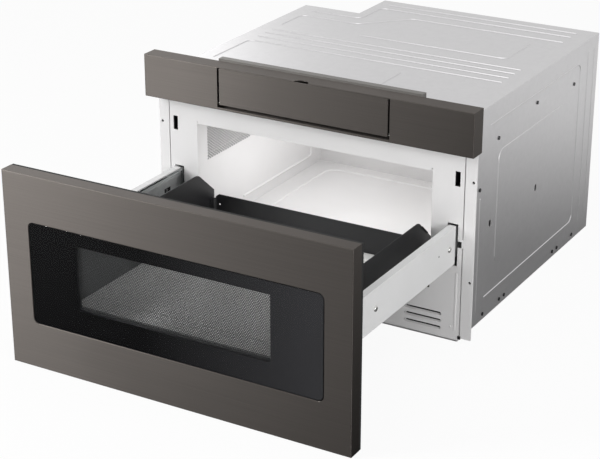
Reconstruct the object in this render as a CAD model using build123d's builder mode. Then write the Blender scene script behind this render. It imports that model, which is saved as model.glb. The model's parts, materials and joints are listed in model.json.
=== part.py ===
"""Built-in microwave drawer, about 24 inches wide, with its drawer fully open.

Millimetres. X runs to the right, Y from the front to the back, Z up. The origin is at the middle of the
case's front edge, on the base: the case lies behind the plane Y = 0, and the drawer stands out in front.
"""

import os
from math import acos, cos, hypot, pi, radians, sin, tan

from build123d import *

os.makedirs("parts", exist_ok=True)

# ---------------------------------------------------------------- Driving dimensions: overall
TRIM_WIDTH = 606.4  # the trim and the door cover the cabinet's front
CAVITY_DEPTH = 423.0
BODY_HEIGHT = 375.0
CASE_INSET = 29.7  # from the trim's end to the case's side
POWER_BAY_DEPTH = 138.0  # behind the cavity
SLIDE_BAY_WIDTH = 52.5  # beside the cavity
BASKET_END_GAP = 13.5  # between the basket and the cavity's rear when the drawer is shut
DOOR_SHUT_GAP = 1.7  # between the door and the front frame when the drawer is shut

# ---------------------------------------------------------------- Driving dimensions: sheets and clearances
SHEET = 1.0  # case and cavity sheet
PLATE = 1.2  # front frame, trim, arms and brackets
SLIDE_GAP = 0.3  # between pieces that slide past each other
PIN_GAP = 0.05  # radial clearance of a shaft or pin in its bore
SEAM_GAP = 0.05  # between two sheets that meet at a welded seam
OVERCUT = 1.0  # how far a cut runs past the face that it opens

# ---------------------------------------------------------------- Driving dimensions: case
NOTCH_WIDTH = 114.0  # step at the rear left, where the outlet and the cord go
NOTCH_DEPTH = 103.5
BASE_RIM = 12.5
BEAD_WIDTH = 4.0  # pressed stiffening beads
BEAD_HEIGHT = 1.0
BEAD_SLOPE = 50.0
BEAD_CORNER = 14.0
SIDE_BEAD_HEIGHT = 1.0

# ---------------------------------------------------------------- Driving dimensions: front frame
FRAME_OVERHANG = 2.5  # past the case on each side
FRAME_BOTTOM = 2.5
FRAME_RETURN = 15.0  # depth of the edges bent back along the side panels
MOUTH_BOTTOM = 84.0
MOUTH_TOP = 286.0
MOUTH_CORNER = 2.0
ARM_SLOT_INNER_GAP = 4.2
ARM_SLOT_OUTER_GAP = 2.3
ARM_SLOT_BELOW = 5.3
ARM_SLOT_ABOVE = 1.7
SCREW_NOTCH_REACH = 9.0
SCREW_NOTCH_HEIGHT = 10.7
LATCH_SLOT_INSET = 13.5
LATCH_SLOT_WIDTH = 9.0
LATCH_SLOT_BOTTOM = 268.0
LATCH_SLOT_TOP = 293.0
LOUVRE_COUNT = 3
LOUVRE_LENGTH = 67.0
LOUVRE_HEIGHT = 6.4
LOUVRE_PITCH = 12.6
LOUVRE_INSET = 63.5
LOUVRE_BOTTOM = 17.5
LOUVRE_REACH = 5.0
LOUVRE_RISE = 3.0

# ---------------------------------------------------------------- Driving dimensions: mounting flanges
FLANGE_GAP = 1.8  # slit between the front frame and the flange
FLANGE_WIDTH = 19.2
FLANGE_FOLD = 6.0  # how far the flange folds back behind the slit
FLANGE_BOTTOM = 7.0
FLANGE_LEG = 30.0
FLANGE_HOLE_INSET = 5.6
FLANGE_HOLE_BOTTOM = 108.0
FLANGE_HOLE_TOP = 279.0
FLANGE_HOLE_RADIUS = 2.5

# ---------------------------------------------------------------- Driving dimensions: trim and control panel
TRIM_DEPTH = 31.5
TRIM_BOTTOM = 331.0
TRIM_TOP = 404.0
TRIM_WING = 144.2  # from the trim's end to the panel's opening
PANEL_OPENING_BOTTOM = 335.0
PANEL_OPENING_TOP = 403.0
PANEL_SIDE_GAP = 3.4
PANEL_BOTTOM = 339.8
PANEL_TOP = 402.3
PANEL_FACE = 2.0
TILT_AXIS_Y = -27.5
TILT_AXIS_Z = 342.0
TILT_PIN_RADIUS = 1.5
TILT_SWING_RADIUS = 60.0  # nothing on the panel lies farther than this from the tilt axis
KEYPAD_DEPTH = 36.0
KEYPAD_THICKNESS = 2.0
KEYPAD_SLOPE = 15.0
HOOD_TOP = 408.0  # hood behind the trim, over the rear of the control panel
HOOD_DEPTH = 12.0
HOOD_LEFT = -175.0
HOOD_RIGHT = 200.0

# ---------------------------------------------------------------- Driving dimensions: cavity
CEILING_STEP = 2.0  # the cavity's ceiling above its mouth
FEED_RADIUS = 40.0  # microwave feed opening in the ceiling
STIRRER_X = 70.0
STIRRER_Y = 250.0
STIRRER_RADIUS = 58.0
STIRRER_SHAFT_RADIUS = 3.0
VENT_FRONT = 26.0
VENT_LENGTH = 147.0
VENT_BOTTOM = 207.5
VENT_HEIGHT = 76.0
VENT_HOLE_RADIUS = 1.9
VENT_PITCH_Y = 7.1
VENT_PITCH_Z = 5.04

# ---------------------------------------------------------------- Driving dimensions: door
DOOR_BOTTOM = 0.4
DOOR_TOP = 323.8
DOOR_SKIN_DEPTH = 24.0
DOOR_BACK_DEPTH = 5.3
WINDOW_BORDER = 45.2  # from the door's side to the glass
WINDOW_BOTTOM = 77.5
WINDOW_TOP = 247.0
WINDOW_CORNER = 10.0
GLASS_THICKNESS = 4.0
GLASS_GAP = 0.9
VIEW_BORDER = 86.0  # from the glass's side to its see-through part
VIEW_BOTTOM = 116.8
VIEW_TOP = 223.0
SCREEN_MARGIN = 12.0
SCREEN_THICKNESS = 0.6
CHOKE_DEPTH = 5.0
CHOKE_INSET = 5.0
CHOKE_BOTTOM = 101.5  # just clear of the basket's pan
CHOKE_TOP = 280.0

# ---------------------------------------------------------------- Driving dimensions: arms and slides
ARM_INSET = 7.5  # from the case's side
ARM_WIDTH = 12.0
ARM_BOTTOM = 137.7
ARM_TOP = 202.7
ARM_REAR = -4.0  # rear end when the drawer is open
ARM_FOOT = 30.0
SCREW_HEAD_RADIUS = 4.8
SCREW_HEAD_HEIGHT = 2.6
SCREW_HEAD_DOME = 2.2
SCREW_SHANK_RADIUS = 2.0
FRONT_SCREW_INSET = 108.7
REAR_SCREW_INSET = 22.0
BALL_RADIUS = 1.9
BALL_COUNT = 8
BALL_PITCH = 14.0
CAGE_THICKNESS = 1.0
RAIL_SHEET = 1.2
SLIDE_WIDTH = 11.6
RAIL_WEB_GAP = 1.6  # between the webs of nested rails
CABINET_RAIL_FRONT = 3.0
CABINET_RAIL_SPARE = 1.0  # rail length past the drawer's travel
MIDDLE_RAIL_SHORT = 7.0  # rail length short of the drawer's travel

# ---------------------------------------------------------------- Driving dimensions: basket
BASKET_SIDE_GAP = 12.0  # between the basket and the cavity's wall
BASKET_BOTTOM = 100.0
BASKET_REAR = 28.5
WING_TOP = 202.0
WING_SHOULDER_Y = -20.0
WING_SHOULDER_Z = 160.0
WING_SHOULDER_RADIUS = 22.0
WING_HEM_WIDTH = 3.0
BASKET_SHEET = 1.2
BASKET_RAIL_TOP = 153.2
BASKET_RAIL_CHAMFER = 4.6
TRAY_THICKNESS = 6.0
TRAY_GAP = 1.0
TRAY_GROOVE_PITCH = 12.0

# ---------------------------------------------------------------- Driving dimensions: rack and pinion
GEAR_MODULE = 1.5
PINION_TEETH = 18
GEAR_PRESSURE_ANGLE = radians(20.0)
GEAR_BACKLASH = 0.2
GEAR_WIDTH = 12.0
PINION_Y = 20.0
RACK_PITCH_LINE = 52.0
RACK_TOP = 62.0
RACK_OVERRUN = 8.0
PINION_SHAFT_RADIUS = 3.0
RACK_FOOT_HALF_WIDTH = 25.0
RACK_FOOT_BOTTOM = 34.0
RACK_FOOT_TOP = 78.0
RACK_SLOT_HALF_WIDTH = 9.0
RACK_SLOT_BOTTOM = 46.0
RACK_SLOT_TOP = 67.0

# ---------------------------------------------------------------- Driving dimensions: cooling and power
FAN_INSET = 99.5  # from the step in the case
FAN_Z = 200.0
FAN_RADIUS = 57.0
FAN_TIP_GAP = 3.0
FAN_SHROUD_SIZE = 140.0
FAN_SHROUD_DEPTH = 25.0
FAN_SHAFT_RADIUS = 2.5
FAN_BLADES = 7
WAVEGUIDE_WIDTH = 90.0
WAVEGUIDE_HEIGHT = 36.0
WAVEGUIDE_FRONT_MARGIN = 6.0
WAVEGUIDE_REAR_MARGIN = 40.0
MAGNETRON_GAP = 18.0  # behind the cavity
MAGNETRON_DEPTH = 80.0
MAGNETRON_HEIGHT = 105.0
ANTENNA_RADIUS = 9.0
INLET_INSET = 55.5  # from the step in the case
INLET_Z = 60.0
INLET_BORE_RADIUS = 4.5

# ---------------------------------------------------------------- Places that follow from them
BODY_WIDTH = TRIM_WIDTH - 2 * CASE_INSET
BODY_DEPTH = CAVITY_DEPTH + SHEET + POWER_BAY_DEPTH
SIDE_X = BODY_WIDTH / 2
STEP_X = NOTCH_WIDTH - SIDE_X
STEP_Y = BODY_DEPTH - NOTCH_DEPTH
FRAME_WIDTH = BODY_WIDTH + 2 * FRAME_OVERHANG
FLANGE_INNER = FRAME_WIDTH / 2 + FLANGE_GAP
FLANGE_OUTER = FLANGE_INNER + FLANGE_WIDTH
FLANGE_HOLE_X = FLANGE_OUTER - FLANGE_HOLE_INSET
PANEL_OPENING_WIDTH = TRIM_WIDTH - 2 * TRIM_WING
PANEL_HALF_WIDTH = PANEL_OPENING_WIDTH / 2 - PANEL_SIDE_GAP
CAVITY_SIDE = SIDE_X - SLIDE_BAY_WIDTH
CAVITY_OUTER = CAVITY_SIDE + SHEET
CAVITY_FLOOR = MOUTH_BOTTOM
CAVITY_BOTTOM = CAVITY_FLOOR - SHEET
CAVITY_CEILING = MOUTH_TOP + CEILING_STEP
CAVITY_TOP = CAVITY_CEILING + SHEET
CAVITY_REAR = CAVITY_DEPTH + SHEET
ARM_OUTER = SIDE_X - ARM_INSET
ARM_SCREW_Z = (ARM_BOTTOM + ARM_TOP) / 2
ARM_SLOT_INNER = ARM_OUTER - ARM_WIDTH - ARM_SLOT_INNER_GAP
ARM_SLOT_OUTER = ARM_OUTER + ARM_SLOT_OUTER_GAP
ARM_SLOT_BOTTOM = ARM_BOTTOM - ARM_SLOT_BELOW
ARM_SLOT_TOP = ARM_TOP + ARM_SLOT_ABOVE
SCREW_NOTCH_OUTER = ARM_OUTER + SCREW_NOTCH_REACH
LATCH_SLOT_INNER = SIDE_X - LATCH_SLOT_INSET
LATCH_SLOT_OUTER = LATCH_SLOT_INNER + LATCH_SLOT_WIDTH
LOUVRE_X = SIDE_X - LOUVRE_INSET
BASKET_HALF_WIDTH = CAVITY_SIDE - BASKET_SIDE_GAP
CHOKE_HALF_WIDTH = BASKET_HALF_WIDTH - CHOKE_INSET
DRAWER_TRAVEL = CAVITY_DEPTH - BASKET_END_GAP - BASKET_REAR
DOOR_WIDTH = TRIM_WIDTH
DOOR_REAR = -DOOR_SHUT_GAP - DRAWER_TRAVEL
DOOR_BACK_FRONT = DOOR_REAR - DOOR_BACK_DEPTH
DOOR_FRONT = DOOR_BACK_FRONT - DOOR_SKIN_DEPTH
WINDOW_WIDTH = DOOR_WIDTH - 2 * WINDOW_BORDER
VIEW_WIDTH = WINDOW_WIDTH - 2 * VIEW_BORDER
ARM_SCREW_YS = (DOOR_REAR + FRONT_SCREW_INSET, ARM_REAR - REAR_SCREW_INSET)
FAN_X = STEP_X + FAN_INSET
INLET_X = STEP_X - INLET_INSET
MAGNETRON_Y = CAVITY_REAR + MAGNETRON_GAP + MAGNETRON_DEPTH / 2


def block(x0, x1, y0, y1, z0, z1, mode=Mode.ADD):
    """Adds or cuts a box between two corners."""
    with Locations(((x0 + x1) / 2, (y0 + y1) / 2, (z0 + z1) / 2)):
        Box(x1 - x0, y1 - y0, z1 - z0, mode=mode)


def side_block(side, near, far, y0, y1, z0, z1, mode=Mode.ADD):
    """Adds or cuts a box whose X range, near to far, is measured from the middle on one side."""
    x0, x1 = sorted((side * near, side * far))
    block(x0, x1, y0, y1, z0, z1, mode=mode)


def rod_x(radius, x0, x1, y, z, mode=Mode.ADD):
    """Adds or cuts a round bar along X."""
    with Locations(Location(((x0 + x1) / 2, y, z), (0, 90, 0))):
        Cylinder(radius, x1 - x0, mode=mode)


def rod_y(radius, x, y0, y1, z, mode=Mode.ADD):
    """Adds or cuts a round bar along Y."""
    with Locations(Location((x, (y0 + y1) / 2, z), (90, 0, 0))):
        Cylinder(radius, y1 - y0, mode=mode)


def rod_z(radius, x, y, z0, z1, mode=Mode.ADD):
    """Adds or cuts a round bar along Z."""
    with Locations((x, y, (z0 + z1) / 2)):
        Cylinder(radius, z1 - z0, mode=mode)


def front_plane(y):
    """A sketch plane that faces the front: its axes are X and Z."""
    return Plane.XZ.offset(-y)


def side_plane(side, x):
    """A sketch plane that faces out of one side: its first axis is Y on the right and -Y on the left."""
    return Plane(origin=(side * x, 0, 0), x_dir=(0, side, 0), z_dir=(side, 0, 0))


# ================================================================ Case
SIDE_SCREWS = ((132.0, 309.0), (288.0, 323.4), (453.0, 309.4), (65.0, 241.3))
BASE_SCREW_YS = (95.7, 163.0, 183.3, 395.0, 416.0, 486.0)
BASE_SCREW_Z = 10.5
CASE_SCREW_RADIUS = 1.9
CASE_SCREW_HEAD_RADIUS = 3.2
CASE_SCREW_HEAD = 1.4
CASE_SCREW_REACH = 1.6
SIDE_SLOTS = ((111.0, 168.0), (297.0, 167.5))
SIDE_SLOT_HEIGHT = 12.0
SIDE_SLOT_WIDTH = 7.5
SIDE_FIELD_FRONT = 134.0
SIDE_FIELD_REAR = 412.0
SIDE_FIELD_BOTTOM = 85.0
SIDE_FIELD_TOP = 287.0
SIDE_FIELD_CORNER = 18.0
SIDE_BEAD_TOP = 341.0
SIDE_BEAD_REAR = 480.0
SIDE_BEAD_BOTTOM = 39.5
SIDE_BEAD_FRONT = 97.0
SIDE_UPRIGHTS = ((68.0, 24.0, 226.0), (516.0, 26.0, 353.0), (544.0, 24.0, 351.0))


def case_outline(inset, front):
    """The plan outline of the case, with its step at the rear left, moved in by an inset."""
    side = SIDE_X - inset
    rear = BODY_DEPTH - inset
    return [
        (-side, front),
        (side, front),
        (side, rear),
        (STEP_X + inset, rear),
        (STEP_X + inset, STEP_Y - inset),
        (-side, STEP_Y - inset),
    ]


with BuildPart() as base_plate:
    with BuildSketch(Plane.XY):
        Polygon(*case_outline(SHEET, 0), align=None)
    extrude(amount=SHEET)
    with BuildSketch(Plane.XY.offset(SHEET)):
        Polygon(*case_outline(SHEET, PLATE), align=None)
        Polygon(*case_outline(2 * SHEET, PLATE + SHEET), align=None, mode=Mode.SUBTRACT)
    extrude(amount=BASE_RIM)
    for side, rear in ((-1, STEP_Y), (1, BODY_DEPTH)):
        for y in BASE_SCREW_YS:
            if y + 2 * CASE_SCREW_HEAD_RADIUS < rear:
                near, far = sorted((side * (SIDE_X - 4 * SHEET), side * SIDE_X))
                rod_x(CASE_SCREW_RADIUS, near, far, y, BASE_SCREW_Z, mode=Mode.SUBTRACT)
base_plate.part.label = "base_plate"
export_step(base_plate.part, "parts/base_plate.step")


def side_panel_holes(side, rear):
    """Places, as (y, z), of the screws that hold one side panel."""
    screws = list(SIDE_SCREWS) + [(y, BASE_SCREW_Z) for y in BASE_SCREW_YS]
    return [(y, z) for y, z in screws if y + 2 * CASE_SCREW_HEAD_RADIUS < rear]


def add_side_panel(side, rear):
    """Adds one side panel: the sheet, its raised field and beads, its screw holes and its slots."""
    panel_top = BODY_HEIGHT - SHEET
    side_block(side, SIDE_X - SHEET, SIDE_X, PLATE, rear, 0, panel_top)
    field_rear = min(SIDE_FIELD_REAR, rear - 3 * BEAD_CORNER)
    field_y = (SIDE_FIELD_FRONT + field_rear) / 2
    field_z = (SIDE_FIELD_BOTTOM + SIDE_FIELD_TOP) / 2
    field_height = SIDE_FIELD_TOP - SIDE_FIELD_BOTTOM
    with BuildSketch(side_plane(side, SIDE_X)) as field:
        with Locations((side * field_y, field_z)):
            RectangleRounded(field_rear - SIDE_FIELD_FRONT, field_height, SIDE_FIELD_CORNER)
    extrude(field.sketch, amount=SIDE_BEAD_HEIGHT, taper=BEAD_SLOPE)
    bead_rear = min(SIDE_BEAD_REAR, rear - BEAD_CORNER)
    with BuildSketch(side_plane(side, SIDE_X)) as bead:
        with BuildLine():
            FilletPolyline(
                (side * SIDE_BEAD_FRONT, SIDE_BEAD_TOP),
                (side * bead_rear, SIDE_BEAD_TOP),
                (side * bead_rear, SIDE_BEAD_BOTTOM),
                (side * SIDE_BEAD_FRONT, SIDE_BEAD_BOTTOM),
                radius=BEAD_CORNER,
            )
        trace(line_width=BEAD_WIDTH)
    extrude(bead.sketch, amount=SIDE_BEAD_HEIGHT, taper=BEAD_SLOPE)
    with BuildSketch(side_plane(side, SIDE_X)) as uprights:
        for y, low, high in SIDE_UPRIGHTS:
            if y + BEAD_WIDTH < rear:
                with Locations((side * y, (low + high) / 2)):
                    SlotOverall(high - low, BEAD_WIDTH, rotation=90)
    extrude(uprights.sketch, amount=SIDE_BEAD_HEIGHT, taper=BEAD_SLOPE)
    with BuildSketch(side_plane(side, SIDE_X - SHEET)) as holes:
        for y, z in side_panel_holes(side, rear):
            with Locations((side * y, z)):
                Circle(CASE_SCREW_RADIUS)
        for y, z in SIDE_SLOTS:
            with Locations((side * y, z)):
                SlotOverall(SIDE_SLOT_HEIGHT, SIDE_SLOT_WIDTH, rotation=90)
    extrude(holes.sketch, amount=SHEET + SIDE_BEAD_HEIGHT, mode=Mode.SUBTRACT)


with BuildPart() as right_side_panel:
    add_side_panel(1, BODY_DEPTH)
right_side_panel.part.label = "right_side_panel"
export_step(right_side_panel.part, "parts/right_side_panel.step")

with BuildPart() as left_side_panel:
    add_side_panel(-1, STEP_Y)
left_side_panel.part.label = "left_side_panel"
export_step(left_side_panel.part, "parts/left_side_panel.step")

with BuildPart() as case_screws:
    for side, rear in ((-1, STEP_Y), (1, BODY_DEPTH)):
        for y, z in side_panel_holes(side, rear):
            inner = side * (SIDE_X - CASE_SCREW_REACH)
            outer = side * (SIDE_X + CASE_SCREW_HEAD)
            rod_x(CASE_SCREW_RADIUS, min(inner, outer), max(inner, outer), y, z)
            seat = side * SIDE_X
            rod_x(CASE_SCREW_HEAD_RADIUS, min(seat, outer), max(seat, outer), y, z)
case_screws.part.label = "case_screws"
export_step(case_screws.part, "parts/case_screws.step")

# Beads on the top cover, each as a list of plan points that its corners round off.
BEAD_LEFT = 27.5 - SIDE_X
BEAD_RIGHT = SIDE_X - 32.5
REAR_BEAD_Y = BODY_DEPTH - 52.0
REAR_BEAD_PITCH = 26.0
STEP_BEAD_Y = STEP_Y - 29.5
STEP_BEAD_X = STEP_X + 20.0
STEP_BEAD_STAGGER = 2.5
SWEPT_BEAD_FRONT = 323.0
SWEPT_BEAD_Y = STEP_Y - 63.5
SWEPT_BEAD_REAR = BODY_DEPTH - 89.0
SWEPT_BEAD_BEND = STEP_X + 31.5
SWEPT_BEAD_END = STEP_X + 104.5
CROSS_BEADS = (288.0, 264.0, 238.0)
CORNER_BEAD_FRONT = 94.0
CORNER_BEAD_Y = 211.0
HOOK_BEAD_LEFT = -90.0
HOOK_BEAD_RIGHT = SIDE_X - 78.5
HOOK_BEAD_Y = 333.0
HOOK_BEAD_REAR = BODY_DEPTH - 131.0
SHORT_BEAD_LEFT = 60.0
SHORT_BEAD_RIGHT = 73.0
SHORT_BEAD_FRONT = 96.0
SHORT_BEAD_REAR = 172.0
TOP_BEADS = (
    [
        (STEP_BEAD_X + STEP_BEAD_STAGGER, REAR_BEAD_Y + REAR_BEAD_PITCH),
        (BEAD_RIGHT, REAR_BEAD_Y + REAR_BEAD_PITCH),
    ],
    [
        (BEAD_LEFT, STEP_BEAD_Y),
        (STEP_BEAD_X, STEP_BEAD_Y),
        (STEP_BEAD_X, REAR_BEAD_Y),
        (BEAD_RIGHT, REAR_BEAD_Y),
    ],
    [
        (BEAD_LEFT, SWEPT_BEAD_FRONT),
        (BEAD_LEFT, SWEPT_BEAD_Y),
        (SWEPT_BEAD_BEND, SWEPT_BEAD_Y),
        (SWEPT_BEAD_END, SWEPT_BEAD_REAR),
        (BEAD_RIGHT, SWEPT_BEAD_REAR),
    ],
    *[[(BEAD_LEFT, y), (BEAD_RIGHT, y)] for y in CROSS_BEADS],
    [(BEAD_LEFT, CORNER_BEAD_FRONT), (BEAD_LEFT, CORNER_BEAD_Y), (BEAD_RIGHT, CORNER_BEAD_Y)],
    [(HOOK_BEAD_LEFT, HOOK_BEAD_Y), (HOOK_BEAD_RIGHT, HOOK_BEAD_Y), (HOOK_BEAD_RIGHT, HOOK_BEAD_REAR)],
    [
        (SHORT_BEAD_LEFT, SHORT_BEAD_FRONT),
        (SHORT_BEAD_RIGHT, SHORT_BEAD_FRONT),
        (SHORT_BEAD_RIGHT, SHORT_BEAD_REAR),
    ],
)
BEAD_BEND_SHARE = 0.45  # share of a short run that its rounded corner may take
TOP_BEAD_WIDTH = 3.6

with BuildPart() as top_cover:
    with BuildSketch(Plane.XY.offset(BODY_HEIGHT - SHEET)):
        Polygon(*case_outline(0, PLATE), align=None)
    extrude(amount=SHEET)
    for path in TOP_BEADS:
        with BuildSketch(Plane.XY.offset(BODY_HEIGHT)):
            with BuildLine():
                if len(path) == 2:
                    Line(*path)
                else:
                    shortest = min(hypot(b[0] - a[0], b[1] - a[1]) for a, b in zip(path, path[1:]))
                    FilletPolyline(*path, radius=min(BEAD_CORNER, BEAD_BEND_SHARE * shortest))
            trace(line_width=TOP_BEAD_WIDTH)
        extrude(amount=BEAD_HEIGHT, taper=BEAD_SLOPE)
top_cover.part.label = "top_cover"
export_step(top_cover.part, "parts/top_cover.step")

FAN_GRILLE_COLUMNS = 7
FAN_GRILLE_ROWS = 9
FAN_GRILLE_SLOT = 13.0
FAN_GRILLE_SLOT_WIDTH = 4.0
FAN_GRILLE_PITCH = 10.0
EXHAUST_X = SIDE_X - 98.5
EXHAUST_ROWS = 3
EXHAUST_SLOT = 26.0
EXHAUST_PITCH_X = 12.0
EXHAUST_PITCH_Z = 32.5
EXHAUST_Z = 250.0
INLET_FLANGE_RADIUS = 11.0
INLET_NECK_RADIUS = 7.5

with BuildPart() as rear_panel:
    panel_top = BODY_HEIGHT - SHEET
    block(-SIDE_X + SHEET, STEP_X + SHEET, STEP_Y - SHEET, STEP_Y, 0, panel_top)
    block(STEP_X, STEP_X + SHEET, STEP_Y + SEAM_GAP, BODY_DEPTH, 0, panel_top)
    block(STEP_X + SHEET + SEAM_GAP, SIDE_X - SHEET, BODY_DEPTH - SHEET, BODY_DEPTH, 0, panel_top)
    with BuildSketch(front_plane(BODY_DEPTH - 2 * SHEET)):
        with Locations((FAN_X, FAN_Z)):
            with GridLocations(
                FAN_GRILLE_SLOT + FAN_GRILLE_SLOT_WIDTH,
                FAN_GRILLE_PITCH,
                FAN_GRILLE_COLUMNS,
                FAN_GRILLE_ROWS,
            ):
                SlotOverall(FAN_GRILLE_SLOT, FAN_GRILLE_SLOT_WIDTH)
        with Locations((EXHAUST_X, EXHAUST_Z)):
            with GridLocations(EXHAUST_PITCH_X, EXHAUST_PITCH_Z, FAN_GRILLE_COLUMNS, EXHAUST_ROWS):
                SlotOverall(EXHAUST_SLOT, FAN_GRILLE_SLOT_WIDTH, rotation=90)
    extrude(amount=-3 * SHEET, mode=Mode.SUBTRACT)
    rod_y(INLET_NECK_RADIUS, INLET_X, STEP_Y - 2 * SHEET, STEP_Y + SHEET, INLET_Z, mode=Mode.SUBTRACT)
rear_panel.part.label = "rear_panel"
export_step(rear_panel.part, "parts/rear_panel.step")

INLET_INSIDE = 12.0
INLET_OUTSIDE = 8.0
INLET_LIP = 3.0

with BuildPart() as cord_inlet:
    rod_y(INLET_NECK_RADIUS, INLET_X, STEP_Y - INLET_INSIDE, STEP_Y + INLET_OUTSIDE, INLET_Z)
    rod_y(INLET_FLANGE_RADIUS, INLET_X, STEP_Y, STEP_Y + INLET_LIP, INLET_Z)
    rod_y(INLET_FLANGE_RADIUS, INLET_X, STEP_Y - SHEET - INLET_LIP, STEP_Y - SHEET, INLET_Z)
    bore_front = STEP_Y - INLET_INSIDE - OVERCUT
    bore_rear = STEP_Y + INLET_OUTSIDE + OVERCUT
    rod_y(INLET_BORE_RADIUS, INLET_X, bore_front, bore_rear, INLET_Z, mode=Mode.SUBTRACT)
cord_inlet.part.label = "cord_inlet"
export_step(cord_inlet.part, "parts/cord_inlet.step")

# ================================================================ Front frame and mounting flanges
FRAME_TOP = BODY_HEIGHT - SHEET
FRAME_BEAD_X = SIDE_X - 5.5
FRAME_BEAD_BOTTOM = 18.0
FRAME_BEAD_TOP = 121.0
FRAME_BEAD_HEIGHT = 0.7
CORNER_HOLE_RADIUS = 1.5
FRAME_DIMPLE_X = SIDE_X - 13.0
FRAME_DIMPLE_Z = 24.6

with BuildPart() as front_frame:
    with BuildSketch(front_plane(0)):
        with Locations((0, (FRAME_BOTTOM + FRAME_TOP) / 2)):
            Rectangle(FRAME_WIDTH, FRAME_TOP - FRAME_BOTTOM)
        with Locations((0, (MOUTH_BOTTOM + MOUTH_TOP) / 2)):
            RectangleRounded(2 * CAVITY_SIDE, MOUTH_TOP - MOUTH_BOTTOM, MOUTH_CORNER, mode=Mode.SUBTRACT)
        with Locations((0, (RACK_SLOT_BOTTOM + RACK_SLOT_TOP) / 2)):
            Rectangle(2 * RACK_SLOT_HALF_WIDTH, RACK_SLOT_TOP - RACK_SLOT_BOTTOM, mode=Mode.SUBTRACT)
        for side in (-1, 1):
            arm_slot_x = side * (ARM_SLOT_INNER + ARM_SLOT_OUTER) / 2
            with Locations((arm_slot_x, (ARM_SLOT_BOTTOM + ARM_SLOT_TOP) / 2)):
                Rectangle(ARM_SLOT_OUTER - ARM_SLOT_INNER, ARM_SLOT_TOP - ARM_SLOT_BOTTOM, mode=Mode.SUBTRACT)
            notch_x = side * (ARM_SLOT_OUTER + SCREW_NOTCH_OUTER) / 2
            with Locations((notch_x, ARM_SCREW_Z)):
                Rectangle(SCREW_NOTCH_OUTER - ARM_SLOT_OUTER, SCREW_NOTCH_HEIGHT, mode=Mode.SUBTRACT)
            latch_x = side * (LATCH_SLOT_INNER + LATCH_SLOT_OUTER) / 2
            with Locations((latch_x, (LATCH_SLOT_BOTTOM + LATCH_SLOT_TOP) / 2)):
                Rectangle(LATCH_SLOT_WIDTH, LATCH_SLOT_TOP - LATCH_SLOT_BOTTOM, mode=Mode.SUBTRACT)
            with Locations((side * (CAVITY_SIDE - SHEET), MOUTH_TOP + 2 * CORNER_HOLE_RADIUS)):
                Circle(CORNER_HOLE_RADIUS, mode=Mode.SUBTRACT)
        for i in range(LOUVRE_COUNT):
            with Locations((LOUVRE_X, LOUVRE_BOTTOM + i * LOUVRE_PITCH)):
                SlotOverall(LOUVRE_LENGTH, LOUVRE_HEIGHT, mode=Mode.SUBTRACT)
    extrude(amount=-PLATE)
    for i in range(LOUVRE_COUNT):
        low = LOUVRE_BOTTOM + i * LOUVRE_PITCH - LOUVRE_HEIGHT / 2
        with BuildSketch(Plane.YZ.offset(LOUVRE_X - LOUVRE_LENGTH / 2)):
            with BuildLine():
                Polyline(
                    (0, low),
                    (0, low - PLATE / 2),
                    (PLATE, low - PLATE / 2),
                    (LOUVRE_REACH, low + LOUVRE_RISE - PLATE / 2),
                    (LOUVRE_REACH, low + LOUVRE_RISE + PLATE / 2),
                    close=True,
                )
            make_face()
        extrude(amount=LOUVRE_LENGTH)
    for side in (-1, 1):
        outer = SIDE_X - SHEET
        side_block(side, outer - PLATE, outer, PLATE, FRAME_RETURN, BASE_RIM + 2 * SHEET, FRAME_TOP)
        with BuildSketch(front_plane(0)):
            with Locations((side * FRAME_BEAD_X, (FRAME_BEAD_BOTTOM + FRAME_BEAD_TOP) / 2)):
                SlotOverall(FRAME_BEAD_TOP - FRAME_BEAD_BOTTOM, BEAD_WIDTH, rotation=90)
            with Locations((side * FRAME_DIMPLE_X, FRAME_DIMPLE_Z)):
                Circle(BEAD_WIDTH / 2)
        extrude(amount=FRAME_BEAD_HEIGHT, taper=BEAD_SLOPE)
front_frame.part.label = "front_frame"
export_step(front_frame.part, "parts/front_frame.step")

FLANGE_TOP = BODY_HEIGHT - SHEET
FLANGE_TAB_BOTTOM = 165.0
FLANGE_TAB_TOP = 180.0

with BuildPart() as mounting_flanges:
    for side in (-1, 1):
        fold_outer = FLANGE_INNER + PLATE
        fold_rear = FLANGE_FOLD + PLATE
        side_block(side, FLANGE_INNER, FLANGE_OUTER, 0, 2 * PLATE, FLANGE_BOTTOM, FLANGE_TOP)
        side_block(side, FLANGE_INNER, fold_outer, 2 * PLATE, FLANGE_FOLD, FLANGE_BOTTOM, FLANGE_TOP)
        side_block(side, SIDE_X, fold_outer, FLANGE_FOLD, fold_rear, FLANGE_BOTTOM, FLANGE_TOP)
        side_block(side, SIDE_X, SIDE_X + PLATE, fold_rear, FLANGE_LEG, FLANGE_BOTTOM, FLANGE_TOP)
        side_block(side, FRAME_WIDTH / 2, FLANGE_INNER, 0, PLATE, FLANGE_TAB_BOTTOM, FLANGE_TAB_TOP)
        for z in (FLANGE_HOLE_BOTTOM, FLANGE_HOLE_TOP):
            rod_y(FLANGE_HOLE_RADIUS, side * FLANGE_HOLE_X, -PLATE, 3 * PLATE, z, mode=Mode.SUBTRACT)
mounting_flanges.part.label = "mounting_flanges"
export_step(mounting_flanges.part, "parts/mounting_flanges.step")

# ================================================================ Trim over the drawer
TRIM_LIP = 17.0
TRIM_CORNER = 1.5
HINGE_PLATE = 2.0
HINGE_PLATE_GAP = 0.6
HINGE_PLATE_INNER = PANEL_OPENING_WIDTH / 2 + HINGE_PLATE_GAP
HINGE_PLATE_OUTER = HINGE_PLATE_INNER + HINGE_PLATE
FINGER_NOTCH_WIDTH = 25.0
FINGER_NOTCH_DEPTH = 9.0

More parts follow.
